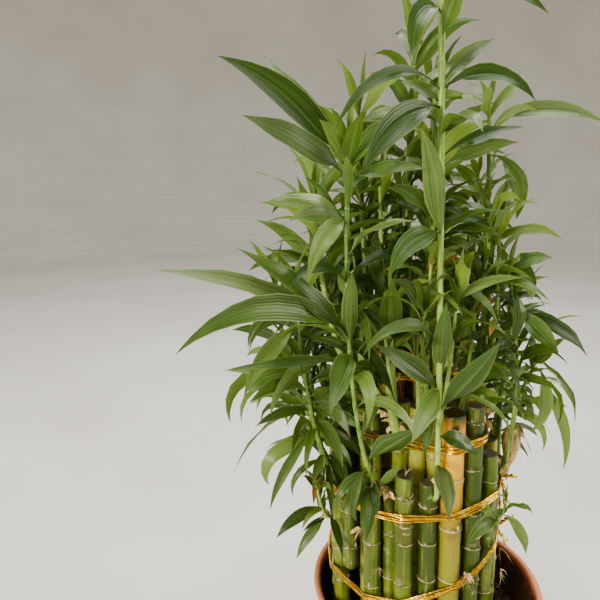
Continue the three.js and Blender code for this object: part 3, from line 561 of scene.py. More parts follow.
# Each: name, ring, bearing, top, radius, heights of the rings on its skin.
SINGLE_CANES = [
    ("cane_front_1", "outer", 191, 396, 9.0, (240, 283, 337, 380)),
    ("cane_front_2", "outer", 208, 376, 9.2, (300, 343)),
    ("cane_front_3", "outer", 230, 388, 8.8, (226, 272, 324, 366)),
    ("cane_front_shaded", "inset", 240, 386, 7.6, (232, 281, 333)),
    ("cane_front_4", "outer", 252, 408, 9.5, (205, 244, 289, 336, 357, 386)),
    ("cane_front_5", "outer", 267, 402, 8.4, (216, 254, 296, 338, 378)),
    ("cane_front_6_yellow", "outer", 282, 474, 10.6, (206, 250, 295, 353, 407, 452)),
    ("cane_front_7", "outer", 298, 478, 9.0, (204, 246, 288, 325, 365, 413, 462)),
    ("cane_front_8", "outer", 314, 420, 8.4, (222, 262, 341, 392)),
    ("cane_front_9", "right", 331, 396, 9.0, (210, 254, 297, 337, 376)),
    ("cane_right_husked", "right", 346, 390, 8.8, (226, 270, 318, 369)),
    ("cane_dead", "third", 232, 530, 8.6, (300, 380, 450)),
]
HANGING_FOOT = {"cane_front_2": 272}
# In a clump: the spacing and radius of the canes, how far their tops differ, and how far below the ring's
# they reach.
TOUCHING, CLUMP_RADIUS, CLUMP_TOPS, CLUMP_BELOW = 17, 8.5, 12, 2
# Each: name, ring, first bearing, number of canes.
CLUMPS = [
    ("canes_right", "right", 1, 4),
    ("canes_back_right", "outer", 54, 4),
    ("canes_back_left", "outer", 105, 4),
    ("canes_left", "outer", 155, 3),
    ("canes_second_front", "second", 242, 4),
    ("canes_second_right", "second", 332, 4),
    ("canes_second_back", "second", 62, 4),
    ("canes_second_left", "second", 152, 4),
    ("canes_third_front", "third", 264, 5),
    ("canes_third_back", "third", 50, 6),
    ("canes_core", "core", 40, 4),
]


def leant(x, y, height):
    """A point that has moved sideways with the leaning tower."""
    return Vector((x + LEAN * max(0, height - CANE_FOOT), y, height))


def polar(radius, bearing, height):
    """A point at a distance and bearing from the tower's leaning axis."""
    turn = math.radians(bearing)
    return leant(TOWER[0] + radius * math.cos(turn), TOWER[1] + radius * math.sin(turn), height)


def on_axis(cane, height):
    """A point on a cane's own axis."""
    return polar(RINGS[cane["ring"]][0], cane["bearing"], height)


def from_axis(cane, place):
    """How far and in which level direction a place lies from a cane's axis."""
    return (place - on_axis(cane, place.z)) * Vector((1, 1, 0))


def clump_canes(name, ring, bearing, count):
    """The canes of a clump, each with its own top height."""
    radius, top = RINGS[ring]
    step = math.degrees(2 * math.asin(TOUCHING / 2 / radius))
    draw = seeded(len(name) * 7 + bearing)
    made = []
    for number in range(count):
        height = top + math.floor(draw() * CLUMP_TOPS + 0.5) - CLUMP_BELOW
        made.append({"piece": name, "ring": ring, "bearing": bearing + number * step, "top": height})
        made[-1] |= {"radius": CLUMP_RADIUS, "foot": CANE_FOOT}
    return made


canes = []
for name, ring, bearing, top, radius, ringed in SINGLE_CANES:
    canes.append({"piece": name, "ring": ring, "bearing": bearing, "top": top, "radius": radius})
    canes[-1] |= {"ringed": ringed, "foot": HANGING_FOOT.get(name, CANE_FOOT)}
for clump in CLUMPS:
    canes += clump_canes(*clump)
for index, cane in enumerate(canes):
    cane["seed"] = 900 + index * 13
print(len(canes), "canes")

# %% [markdown]
# A cane is a circle extruded upwards from station to station. A cylinder with loop cuts would do for one
# cane, but one extrusion serves canes, stems, husk and rootlets alike, and at every station it can also
# leave the marks that the finishes read.


# %% Tube by extrusion
def extrude_tube(stations, sides, close_foot=True, close_top=True):
    """A bmesh tube through stations of (place, heading, radius, mark values), extruded from a circle."""
    bm = bmesh.new()
    layers = [bm.verts.layers.float.new(mark) for mark in MARKS]

    def matrix_at(place, heading, radius):
        return Matrix.LocRotScale(place, heading.to_track_quat("Z", "Y"), Vector((radius, radius, radius)))

    matrix = matrix_at(*stations[0][:3])
    ring = bmesh.ops.create_circle(bm, segments=sides, radius=1, matrix=matrix)["verts"]
    edges = list(bm.edges)
    if close_foot:
        bmesh.ops.contextual_create(bm, geom=edges)
    for number, (place, heading, radius, *values) in enumerate(stations):
        if number:
            grown = bmesh.ops.extrude_edge_only(bm, edges=edges)["geom"]
            ring = [item for item in grown if isinstance(item, bmesh.types.BMVert)]
            edges = [item for item in grown if isinstance(item, bmesh.types.BMEdge) and item.is_boundary]
            moved = matrix_at(place, heading, radius)
            bmesh.ops.transform(bm, matrix=moved @ matrix.inverted(), verts=ring)
            matrix = moved
        for layer, value in zip(layers, values):
            for vertex in ring:
                vertex[layer] = value
    if close_top:
        bmesh.ops.contextual_create(bm, geom=edges)
    bmesh.ops.recalc_face_normals(bm, faces=bm.faces)
    return bm


def gather_mesh(whole, mesh):
    """Adds a mesh to a bmesh and removes it."""
    whole.from_mesh(mesh)
    bpy.data.meshes.remove(mesh)


def gather(whole, part):
    """Adds a finished bmesh to a bigger one and frees it."""
    held = bpy.data.meshes.new("held")
    part.to_mesh(held)
    part.free()
    gather_mesh(whole, held)


# %% [markdown]
# Going up a cane, the stem swells at each ring, carries the thin corky line of a fallen leaf, and steps
# in a little above it. Between rings it sways by about a millimetre. At the cut the edge is worn round
# and the pith has sunk. So the stations of a cane are put together from these few small shapes, each a
# short row.

# %% Stations up a cane
# Canes that stand in deep shade get a lower tone: painted shade.
PAINTED_SHADE = {"cane_front_1": -0.4, "cane_front_2": -0.6, "cane_front_5": -0.55, "cane_front_7": -0.4}
SUNK = 5
# At a foot in the soil and at the rounded one that hangs free: how far above it, share of the radius, how
# dirty.
SOIL_FOOT = [(-SUNK, 1, 0.7), (6, 1, 0.25), (14, 1, 0)]
ROUND_FOOT = [(0, 0.35, 0.3), (1.2, 0.72, 0.2), (4, 0.95, 0)]
# At a ring: how far above its line, how much wider than the cane, and how strongly ringed.
RING_SHAPE = [(-8, 0, 0), (-4, 0.35, 0), (-1.2, 0.75, 0.3), (-0.3, 1.0, 1), (0.3, 0.9, 1)]
RING_SHAPE += [(0.9, 0.25, 0.35), (5, -0.1, 0)]
# At the cut: how far below the top, share of the radius, and how dirty.
CUT_SHAPE = [(3, 1, 0), (1.2, 0.98, 0.4), (0.3, 0.93, 0.8), (0, 0.86, 0.7), (0.8, 0.72, 1), (1.4, 0.3, 0.9)]
# Rings of a clump's cane: the first one's least height above the foot and how much more, spacing, stray.
FIRST_RING, RING_SPACING, RING_STRAY = (12, 30), 43, 5
# No ring stands nearer than this to the cut or to the row below it.
CLEAR_OF_CUT, CLEAR_OF_RING = 9, 10
# A stretch that is longer than this gets a row halfway.
LONG_STRETCH, LONG_LAST_STRETCH, FINEST = 28, 24, 5
SWAY, SWAY_LENGTH = 1.1, 41


def refined(rows):
    """Adds rows between those that stand further apart than FINEST."""
    made = rows[:1]
    for row in rows[1:]:
        gap = row[0] - made[-1][0]
        last, parts = made[-1], max(1, math.ceil(gap / FINEST))
        for i in range(1, parts):
            made.append(tuple(a + (b - a) * i / parts for a, b in zip(last, row)))
        made.append(row)
    return made


def ring_heights(cane, draw):
    """Where the rings of fallen leaves are: in a single cane's own row, and spaced out up a clump's cane."""
    if cane.get("ringed"):
        return cane["ringed"]
    first = cane["foot"] + FIRST_RING[0] + draw() * FIRST_RING[1]
    return [z + spread(draw, RING_STRAY) for z in np.arange(first, cane["top"] - 14, RING_SPACING)]


def cane_rows(cane, draw):
    """Rows of height, radius, ringed and sawn, from a cane's foot to the sunk pith of its cut."""
    top, radius, foot = cane["top"], cane["radius"], cane["foot"]
    shape = ROUND_FOOT if foot > CANE_FOOT else SOIL_FOOT
    rows = [(foot + up, radius * share, 0, dirt) for up, share, dirt in shape]
    for z in ring_heights(cane, draw):
        last = rows[-1][0]
        if z > top - CLEAR_OF_CUT or z < last + CLEAR_OF_RING:
            continue
        if z - last > LONG_STRETCH:
            rows.append(((z + last) / 2, radius * (0.985 + 0.02 * draw()), 0, 0))
        rows += [(z + up, radius + wide, mark, 0) for up, wide, mark in RING_SHAPE]
    if top - rows[-1][0] > LONG_LAST_STRETCH:
        rows.append(((top - 6 + rows[-1][0]) / 2, radius, 0, 0))
    last = rows[-1][0]
    cut = [row for row in CUT_SHAPE if top - row[0] > last or row[2]]
    return rows + [(top - down, radius * share, 0, dirt) for down, share, dirt in cut]


def cane_stations(cane):
    """The rows of a cane set on its axis, which sways a little; finer on the canes that show one by one."""
    draw = seeded(cane["seed"])
    # Canes in deep shade get a lower tone: painted shade.
    tone = draw() + PAINTED_SHADE.get(cane["piece"], 0)
    rows = cane_rows(cane, draw)
    if cane["piece"].startswith("cane_"):
        rows = refined(rows)
    side = Vector((spread(draw, SWAY), spread(draw, SWAY), 0))
    phase = draw() * 6
    stations = []
    for z, wide, mark, dirt in rows:
        place = on_axis(cane, z) + side * math.sin(z / SWAY_LENGTH + phase)
        stations.append((place, UP, wide, mark, dirt, tone))
    return stations


# %% [markdown]
# No two canes are alike: their rings are wavy, their skins uneven, and a few carry a bud scar or a scuff.
# That is worked in after the extrusion, point by point, along the way that points out of the cane. The
# green canes are gathered ring by ring into a few pieces. The yellowed cane and the dead one are pieces
# of their own, since their skins differ.

# %% Grow the canes
CANE_SIDES = 20
# Each: cane, mark, bearing and height of a scar, its size, and how far it bulges.
SCARS = [
    ("cane_front_4", "ringed", 262, 348, 15, 3.2), ("cane_front_4", "ringed", 240, 300, 7, 0.4),
    ("cane_front_5", "ringed", 280, 262, 6, 0.5), ("cane_front_3", "ringed", 250, 318, 5, 0.5),
    ("cane_front_7", "ringed", 285, 335, 6, 0.6), ("cane_front_8", "ringed", 300, 352, 6, 0.8),
    ("cane_front_1", "ringed", 215, 300, 7, 0.5), ("cane_front_6_yellow", "ringed", 268, 350, 8, 1.0),
    ("cane_front_6_yellow", "sawn", 262, 461, 6, 0.4),
]


def weathered(cane, tube):
    """Makes the rings of a cane wavy and its skin uneven, and adds its scars."""
    scars = [scar[1:] for scar in SCARS if scar[0] == cane["piece"]]
    for vertex in tube.verts:
        outward = from_axis(cane, vertex.co)
        if outward.length < 1:
            continue
        outward.normalize()
        vertex.co.z += uneven(vertex.co, size=8, depth=1.5)
        vertex.co += outward * uneven(vertex.co, size=13, depth=0.5)
        for mark, bearing, height, size, bulge in scars:
            layer = tube.verts.layers.float[mark]
            centre = on_axis(cane, height) + level(math.radians(bearing)) * cane["radius"]
            near = max(0, 1 - ((vertex.co - centre) * Vector((1, 1, 0.7))).length / size)
            vertex.co += outward * bulge * near
            vertex[layer] = max(vertex[layer], near * (0.8 + uneven(vertex.co, size=4, depth=0.9)))
    return tube


def cane_piece(name, chosen, material):
    whole = bmesh.new()
    for mark in MARKS:
        whole.verts.layers.float.new(mark)
    for cane in chosen:
        gather(whole, weathered(cane, extrude_tube(cane_stations(cane), CANE_SIDES)))
    add_piece(name, whole, material, sorted({cane["piece"] for cane in chosen}))


OWN_SKIN = {"cane_front_6_yellow", "cane_dead"}
front = [c for c in canes if c["piece"].startswith("cane_") and c["piece"] not in OWN_SKIN]
cane_piece("front_canes", front, green_skin)
for ring in RINGS:
    clumped = [c for c in canes if c["ring"] == ring and c["piece"].startswith("canes_")]
    if clumped:
        cane_piece(ring + "_ring_canes", clumped, green_skin)
yellowed = [c for c in canes if c["piece"] == "cane_front_6_yellow"]
cane_piece("yellowed_cane", yellowed, yellow_skin)

# %% [markdown]
# The dead cane has lost its skin: it is a rough, shrunken core of brown fibre with splinters standing
# from its broken top. It is extruded like the others and then roughened by a noise that is drawn out
# upwards, so that the roughness reads as fibres. The splinters are thin tubes of three stations.

# %% Dead cane
DEAD_TOP, DEAD_ROWS, DEAD_RADIUS, DEAD_BULGE, DEAD_BULGE_LENGTH = 522, 60, 7.4, 1.1, 19
DEAD_NECK, DEAD_NECK_IN = 500, 0.8
FIBRES_DRAWN_OUT, FIBRE_DEPTH = Vector((0.5, 0.5, 0.06)), 1.3
SPLINTERS, SPLINTER_FOOT, SPLINTER_REACH = 26, 508, 5.5
dead = next(c for c in canes if c["piece"] == "cane_dead")
draw = seeded(77)
dead_stations = []
for z in np.linspace(CANE_FOOT - SUNK, DEAD_TOP, DEAD_ROWS):
    wide = DEAD_RADIUS + DEAD_BULGE * math.sin(z / DEAD_BULGE_LENGTH) - (z > DEAD_NECK) * DEAD_NECK_IN
    dead_stations.append((on_axis(dead, z), UP, wide, 0, 0, 0.5))
core = extrude_tube(dead_stations, 16)
for vertex in core.verts:
    rough = FIBRE_DEPTH * noise.noise(vertex.co * FIBRES_DRAWN_OUT)
    vertex.co += from_axis(dead, vertex.co).normalized() * rough
for _ in range(SPLINTERS):
    turn, height = draw() * 6.28, 12 + draw() * 10
    foot = on_axis(dead, SPLINTER_FOOT) + level(turn, SPLINTER_REACH) + UP * spread(draw, 5)
    lean = level(turn, 0.1) + UP
    splinter = [(foot + lean * height * t, lean, 1.5 - 1.3 * t, 0, 0, 0.5) for t in (0, 0.5, 1)]
    gather(core, extrude_tube(splinter, 5))
add_piece("dead_cane", core, dead_fibre, ["cane_dead"])

# %% [markdown]
# ## The gold ties
#
# A tie is pulled tight round the canes that reach its height, so its path is the convex outline of those
# canes, on a slightly tilted plane. The outline is worked out from circles about the canes, which stays
# right when a cane is moved, where a ring drawn by hand would cut into it.

# %% Tie paths
# Each: name, height at the axis, rise per millimetre to the right and to the back.
TIES = [
    ("tie_low", 303, 0.42, 0.2),
    ("tie_middle", 372, 0.12, 0.02),
    ("tie_upper", 438, 0.22, 0),
    ("tie_top", 492, 0.02, 0.02),
]
OFF_CANE, CORNERS_ROUND_CANE = 1.7, 36
PATH_STEP = 1.7


def tie_height(tie, x, y):
    return tie[1] + tie[2] * (x - TOWER[0]) + tie[3] * (y - TOWER[1])


def tie_path(tie):
    """Points every PATH_STEP along the tight outline of the canes inside a tie."""
    corners = []
    for cane in canes:
        x, y = on_axis(cane, tie[1]).xy
        height = tie_height(tie, x, y)
        if not cane["foot"] < height < cane["top"]:
            continue
        reach = cane["radius"] + OFF_CANE
        for turn in np.linspace(0, FULL_TURN, CORNERS_ROUND_CANE, endpoint=False):
            corners.append(Vector((x + reach * math.cos(turn), y + reach * math.sin(turn))))
    hull = np.array([corners[i] for i in convex_hull_2d(corners)])
    hull = np.vstack([hull, hull[:1]])
    run = np.r_[0, np.cumsum(np.linalg.norm(np.diff(hull, axis=0), axis=1))]
    places = np.arange(0, run[-1], PATH_STEP)
    return [(float(np.interp(p, run, hull[:, 0])), float(np.interp(p, run, hull[:, 1]))) for p in places]


# %% [markdown]
# A tie is four strands of foil side by side, and its loose ends are two strands twisted about each other.
# A strand is a curve with a round bevel, because a curve can thin a little from point to point, as straw
# does. It is made a mesh at once, and the strands of a tie are gathered into one piece.

# %% Strands and loose ends
STRAND_RADIUS, STRAND_THINS = 1.15, 0.06
TAIL_STEP, TAIL_SAG, TAIL_TWIST = 1.2, 0.35, 2.4
# How far the two strands of a loose end stand apart, and how they spread at its last fifth.
TAIL_APART, TAIL_SPREAD, TAIL_SPREADS_FROM = 1.2, 8, 0.8
# How far outside the circle of the right-hand canes a loose end starts.
TAIL_OUT = 12


def strand(points, closed, radius, draw):
    """A curve with a round bevel through points in millimetres, made a mesh."""
    curve = bpy.data.curves.new("strand", "CURVE")
    curve.dimensions = "3D"
    curve.bevel_depth = radius
    curve.bevel_resolution = 1
    curve.use_fill_caps = True
    spline = curve.splines.new("POLY")
    spline.points.add(len(points) - 1)
    spline.use_cyclic_u = closed
    for point, place in zip(spline.points, points):
        point.co = (*place, 1)
        point.radius = 1 + spread(draw, STRAND_THINS)
    held = bpy.data.objects.new("strand", curve)
    bpy.context.scene.collection.objects.link(held)
    bpy.context.view_layer.update()
    mesh = bpy.data.meshes.new_from_object(held.evaluated_get(bpy.context.evaluated_depsgraph_get()))
    bpy.data.objects.remove(held)
    bpy.data.curves.remove(curve)
    return mesh


def tail(tie, bearing, length, lean, draw):
    """The loose end of a tie: two strands twisted about each other, standing off the canes."""
    x, y = polar(RINGS["right"][0] + TAIL_OUT, bearing, tie[1]).xy
    foot = Vector((x, y, tie_height(tie, x, y)))
    points = ([], [])
    for i in range(int(length / TAIL_STEP) + 1):
        t = i * TAIL_STEP / length
        centre = foot + Vector(lean) * length * t - UP * (length * TAIL_SAG * t * t)
        apart = TAIL_APART + TAIL_SPREAD * max(0, t - TAIL_SPREADS_FROM)
        for half, held in enumerate(points):
            turn = t * length / TAIL_TWIST + math.pi * half
            held.append(centre + Vector((math.cos(turn), math.sin(turn), 0.4 * math.sin(turn))) * apart)
    return [strand(held, False, STRAND_RADIUS * 0.9, draw) for held in points]


# %% Wind the ties
LANES, LANE_STEP = (-1.5, -0.5, 0.5, 1.5), 2.15
# How far a strand strays from its lane at each point, and how high it ripples over its whole length.
STRAY_LEVEL, STRAY_UP, RIPPLE = 0.05, 0.07, 0.7
# Each: tie, bearing, length, lean.
TAILS = [("tie_low", 331, 26, (0.35, -0.3, 0.9)), ("tie_low", 326, 18, (0.3, -0.75, 0.1))]
TAILS += [("tie_middle", 330, 24, (0.1, -0.5, -0.5)), ("tie_middle", 334, 16, (0.7, -0.35, 0.5))]
for number, tie in enumerate(TIES):
    draw = seeded(300 + number)
    whole = bmesh.new()
    loop = tie_path(tie)
    for lane in LANES:
        stray = [(spread(draw, STRAY_LEVEL), spread(draw, STRAY_LEVEL), spread(draw, STRAY_UP)) for _ in loop]
        start, ripples = draw() * 6, round(5 + 4 * draw())
        points = []
        for i, (x, y) in enumerate(loop):
            ripple = RIPPLE * math.sin(FULL_TURN * ripples * i / len(loop) + start)
            height = tie_height(tie, x, y) + lane * LANE_STEP + ripple
            points.append(Vector((x, y, height)) + Vector(stray[i]))
        gather_mesh(whole, strand(points, True, STRAND_RADIUS, draw))
    for name, bearing, length, lean in TAILS:
        if name == tie[0]:
            for mesh in tail(tie, bearing, length, lean, draw):
                gather_mesh(whole, mesh)
    add_piece(tie[0] + "_gold", whole, foil, [tie[0]])

# %% [markdown]
# ## The husk
#
# A dry, papery sheath still stands beside the right-hand cane, torn open at the top, with a shoot growing
# out of it, and its foot wraps the cane's top as a sleeve. A sheet of cloth could be draped for it, but
# dry paper keeps its shape, so it is a short tube that swells and narrows, creased by noise and given a
# thickness.

# %% Papery husk
HUSK_FOOT, HUSK_TOP, HUSK_SIDES = 374, 430, 18
# How far outside its ring's circle the husk stands, and how much further at its top.
HUSK_OUT, HUSK_LEANS = 16, 3
PAPER_THICK = 0.5
CREASES_DRAWN_OUT, CREASE = Vector((0.3, 0.3, 0.05)), 0.5
# The torn edge: how deep its tears are, how close together, and how much lower it lies by them.
TEAR_DEPTH, TEARS_CLOSE, TORN_LOWER = 5, 0.35, 1
# Each: height above the husk's foot, radius.
HUSK_SHAPE = [(-8, 0.7), (-1, 1.3), (7, 2.6), (15, 4.4), (24, 6.6), (33, 8.6), (41, 9.4), (48, 8.8)]
HUSK_SHAPE += [(53, 7.2), (57, 5.2)]
# Each: height above the cane's cut, radius.
SLEEVE_SHAPE = [(-18, 9.9), (-12, 10.2), (-6, 10.0), (0, 9.6), (3, 9.3)]
HUSKED = next(c for c in canes if c["piece"] == "cane_right_husked")


def husk_place(height):
    """A point on the axis of the husk, which stands beside its cane and leans away from it."""
    share = (height - HUSK_FOOT) / (HUSK_TOP - HUSK_FOOT)
    return polar(RINGS["right"][0] + HUSK_OUT + HUSK_LEANS * share, HUSKED["bearing"], height)


husk_stations = [(husk_place(HUSK_FOOT + z), UP, wide, 0, 0, 0.5) for z, wide in HUSK_SHAPE]
husk = extrude_tube(husk_stations, HUSK_SIDES, close_top=False)
sleeve = [(on_axis(HUSKED, HUSKED["top"] + z), UP, wide, 0, 0, 0.5) for z, wide in SLEEVE_SHAPE]
gather(husk, extrude_tube(sleeve, HUSK_SIDES, close_foot=False, close_top=False))
bmesh.ops.subdivide_edges(husk, edges=husk.edges, cuts=1, use_grid_fill=True)
for vertex in husk.verts:
    outward = (vertex.co - husk_place(vertex.co.z)) * Vector((1, 1, 0))
    vertex.co += outward * CREASE * noise.noise(vertex.co * CREASES_DRAWN_OUT)
    if vertex.co.z > HUSK_TOP - TEAR_DEPTH:
        vertex.co.z += TEAR_DEPTH * noise.noise(vertex.co * TEARS_CLOSE) - TORN_LOWER
bmesh.ops.solidify(husk, geom=husk.faces, thickness=PAPER_THICK)
add_piece("papery_husk", husk, husk_fibre, ["husk"])

# %% [markdown]
# ## The shoots
#
# A shoot leaves the side of a cane at a collar, turns up and thins towards its tip, along one smooth
# curve from its foot over a bend to its tip. The rows below repeat the part's own. The leading leaves of
# a shoot make the outline that the photograph shows. A leaf's row holds its height on the stem, bearing,
# length, width, the rise at its foot and how far it droops, in millimetres and degrees, then its kind
# where that isn't mid green, and at times how dry its tip is. Leading leaves that stand in shade are
# given the deep kind: painted shade.

# %% Shoots seen in the photograph
SHOOTS = [
    {
        "name": "main_shoot", "ring": "outer", "on": "cane_front_5", "bearing": 300, "foot": 392,
        "bend": (-26, -112, 560), "tip": (-38, -88, 862), "radius": 2.6, "taper": -0.05, "paler": 0.12,
        "leaves": 0, "from": 0.55, "long": 80, "seed": 11,
        "leading": [
            (425, 263, 74, 24, 15, 51, "olive"), (455, 317, 44, 16, 34, 77, "deep"),
            (481, 326, 95, 24, 52, -8), (502, 203, 86, 22, 42, 6, "deep"), (502, 242, 81, 22, 4, 35),
            (507, 254, 94, 17, 88, 35), (542, 212, 103, 12, 66, 116, "deep"), (637, 245, 114, 20, 64, 8),
            (642, 223, 81, 20, 10, 56), (695, 15, 78, 14, 32, 27, "deep"),
            (704, 17, 86, 13, 31, 25, "deep"), (720, 283, 73, 20, 51, 91, "deep"),
            (730, 161, 76, 16, 27, 51, "deep"), (742, 219, 107, 25, -3, 49, "deep"),
            (745, 163, 40, 14, 48, 30, "deep"), (755, 216, 132, 11, 35, 102, "deep"),
            (756, 349, 84, 19, 38, 82, "deep"), (761, 28, 69, 11, 42, 7, "olive", 1),
            (795, 267, 78, 18, 50, 66, "deep"), (812, 230, 76, 20, 22, 116, "deep"),
            (845, 352, 94, 20, -6, 35, "deep"), (856, 70, 52, 10, 84, 8, "fresh"),
        ],
    },
    {
        "name": "left_shoot", "ring": "outer", "on": "cane_front_3", "bearing": 302, "foot": 383,
        "bend": (-112, -122, 470), "tip": (-108, -106, 712), "radius": 2.2, "taper": 0.05, "paler": -0.25,
        "leaves": 8, "from": 0.35, "long": 90, "seed": 23,
        "leading": [
            (388, 331, 43, 11, 59, 4), (393, 223, 50, 9, 20, 82, "deep"),
            (394, 256, 61, 13, -4, 54, "mid"), (412, 213, 57, 10, 21, 105, "deep"),
            (420, 224, 65, 9, -23, 92, "deep"), (396, 240, 50, 13, -20, 60, "deep"),
            (400, 268, 40, 9, 0, 90), (405, 232, 52, 11, 10, 80, "deep"), (425, 322, 79, 26, 45, 1),
            (532, 200, 116, 10, 6, 8, "deep"), (537, 253, 82, 22, 11, 61, "deep"),
            (540, 260, 92, 17, 77, 18), (548, 205, 139, 28, 51, 14, "deep"),
            (551, 215, 184, 23, 49, 76, "deep"), (555, 204, 185, 20, 39, 29, "olive"),
            (651, 216, 63, 18, 32, 46), (652, 236, 81, 18, 7, 67), (654, 163, 76, 18, 31, 37),
            (686, 332, 70, 13, 23, 24), (687, 211, 107, 24, 37, 17, "olive"), (692, 278, 67, 15, 71, 46),
            (693, 1, 57, 16, 68, 29), (694, 186, 139, 28, 54, 18, "deep"),
            (696, 150, 126, 24, 49, 1, "deep"),
        ],
    },
    {
        "name": "thick_shoot", "bough": "bough_thick", "ring": "second", "bearing": 248, "foot": 440,
        "bend": (-68, -76, 490), "tip": (-62, -75, 575), "radius": 5,
        "leaves": 5, "from": 0.1, "long": 75, "seed": 31,
        "leading": [(530, 12, 45, 16, 60, 30), (536, 265, 83, 22, 69, 17)],
    },
    {
        "name": "left_low_shoot", "bough": "bough_left_low", "ring": "outer", "bearing": 196, "foot": 384,
        "bend": (-140, -46, 440), "tip": (-150, -52, 580), "radius": 3.6,
        "leaves": 12, "from": 0.05, "long": 95, "seed": 43,
        "leading": [
            (385, 227, 55, 8, -60, 25, "deep"), (385, 269, 62, 10, -13, 52, "deep"),
            (385, 296, 70, 11, -9, 47, "deep"), (390, 311, 44, 9, 12, 86, "deep"),
            (398, 248, 40, 10, -3, 53, "deep", 2), (385, 309, 48, 12, -9, 114, "deep"),
            (388, 198, 67, 8, 13, 110, "deep"), (390, 236, 53, 10, -42, 47, "deep", 3),
            (428, 219, 97, 12, -30, 38, "deep"), (453, 196, 63, 12, 17, 52, "deep"),
            (476, 303, 78, 16, 20, 76, "deep"), (491, 191, 69, 17, 32, 82), (544, 227, 94, 18, -11, 41),
            (550, 202, 61, 17, 57, 8), (440, 300, 70, 15, 20, 80, "deep"), (455, 325, 62, 15, 30, 70),
            (430, 335, 58, 13, 10, 60, "deep"), (470, 338, 66, 15, 30, 60, "deep"),
            (418, 320, 52, 12, 20, 80),
        ],
    },
    {
        "name": "right_tall_shoot", "bough": "bough_right_tall", "ring": "third", "bearing": 345, "foot": 508,
        "bend": (44, -14, 600), "tip": (32, -6, 748), "radius": 3.4,
        "leaves": 8, "from": 0.06, "long": 84, "seed": 57,
        "leading": [
            (704, 333, 75, 20, -25, 75), (728, 9, 132, 22, 32, 60, "olive"), (736, 249, 56, 17, 56, 45),
        ],
    },
    {
        "name": "right_pale_shoot", "ring": "second", "bearing": 325, "foot": 462,
        "bend": (48, -44, 540), "tip": (42, -32, 640), "radius": 3,
        "leaves": 9, "from": 0.2, "long": 78, "seed": 61,
        "leading": [
            (577, 345, 61, 17, 77, 66, "fresh"), (603, 344, 55, 17, 16, 120, "fresh"),
            (566, 205, 34, 9, 40, 110, "dying"), (548, 240, 28, 8, 10, 60, "dying"),
        ],
    },
    {
        "name": "husk_shoot", "husk": True, "bend": (76, -26, 466), "tip": (87, -40, 506), "radius": 2.4,
        "leaves": 6, "from": 0.1, "long": 55, "seed": 73,
        "leading": [
            (488, 323, 109, 13, -36, 59), (497, 227, 58, 8, 37, 89), (501, 312, 82, 14, -46, 81),
            (501, 345, 31, 16, 71, 48), (505, 338, 78, 8, -25, 57),
        ],
    },
    {
        "name": "right_foot_shoot", "ring": "outer", "bearing": 306, "foot": 344,
        "bend": (52, -84, 356), "tip": (52, -88, 380), "radius": 2.2,
        "leaves": 3, "from": 0.3, "long": 40, "seed": 83,
        "leading": [(358, 217, 53, 14, 33, 85), (360, 160, 48, 11, 35, 1), (366, 326, 47, 11, -17, 71)],
    },
    {
        "name": "right_front_shoot", "ring": "right", "bearing": 334, "foot": 389,
        "bend": (76, -54, 482), "tip": (50, -44, 602), "radius": 2.6,
        "leaves": 9, "from": 0.35, "long": 62, "seed": 97,
        "leading": [
            (554, 356, 86, 20, -4, 45, "deep"), (560, 342, 57, 20, -37, 4), (581, 298, 55, 13, -53, 57),
            (588, 345, 33, 12, 35, 140), (600, 346, 43, 18, 39, 31),
        ],
    },
    {
        "name": "left_foot_shoot", "ring": "outer", "bearing": 190, "foot": 318,
        "bend": (-122, -34, 326), "tip": (-128, -44, 366), "radius": 2.4,
        "leaves": 5, "from": 0.3, "long": 60, "seed": 101,
        "leading": [
            (319, 202, 36, 6, -4, 22, "deep"), (319, 211, 61, 12, -28, 35, "deep"),
            (319, 283, 56, 10, 10, 57, "deep"), (340, 203, 62, 14, 5, 60, "deep"),
        ],
    },
]

# %% [markdown]
# The photograph hides the sides, the back and the inside of the crown. The shoots there are worked out
# from shorter rows, since no outline asks for more: a bearing and a reach place the whole curve of each.

# %% Shoots of the sides, the back and the inside
LONG = 118
# Each: name, ring, bearing, reach from the axis, tip height, leaves, turn of the side branch, longest leaf.
REST_OF_CROWN = [
    ("crown_left_1", "outer", 176, 150, 560, 17, -34, LONG),
    ("crown_left_2", "outer", 157, 138, 520, 15, 30, LONG),
    ("crown_back_1", "outer", 128, 146, 585, 17, -30, LONG),
    ("crown_back_2", "outer", 103, 150, 530, 15, 32, LONG),
    ("crown_back_3", "outer", 72, 130, 570, 17, 30, 104),
    ("crown_back_4", "outer", 54, 116, 545, 15, -24, 88),
    ("crown_right_1", "right", 14, 104, 560, 14, 28, 80),
    ("crown_second_1", "second", 200, 118, 660, 15, -36, LONG),
    ("crown_second_2", "second", 152, 112, 690, 15, 36, LONG),
    ("crown_second_3", "second", 95, 116, 665, 15, -36, LONG),
    ("crown_second_4", "second", 40, 86, 680, 15, 30, 84),
    ("crown_third_1", "third", 178, 62, 740, 12, 0, LONG),
    ("crown_third_2", "third", 75, 66, 770, 13, 0, LONG),
    ("crown_third_3", "third", 268, 46, 690, 9, 0, LONG),
    ("crown_core", "core", 110, 24, 800, 13, 0, LONG),
]
# The yellow leaves that show deep inside the crown, on crown_third_3.
DYING_INSIDE = [
    (596, 300, 34, 9, 66, 60, "dying"), (604, 345, 38, 8, 50, 90, "dying"),
    (588, 282, 30, 12, 82, 20, "dying"), (580, 320, 26, 10, 84, 15, "dying"),
]
# Thickness, where the leaves begin, seeds, how far a curve veers, and where it bends.
REST = {"radius": 3.8, "from": 0.12, "seed": 200, "seed_step": 17, "veer": 5, "reach": 0.9, "rise": 0.35}
FOOT_BELOW_CUT, FOOT_BELOW_HUSK, CLEAR_OF_SKIN = 6, 8, 0.3
SHOOT_TAPER = 0.45
HALVINGS = 24


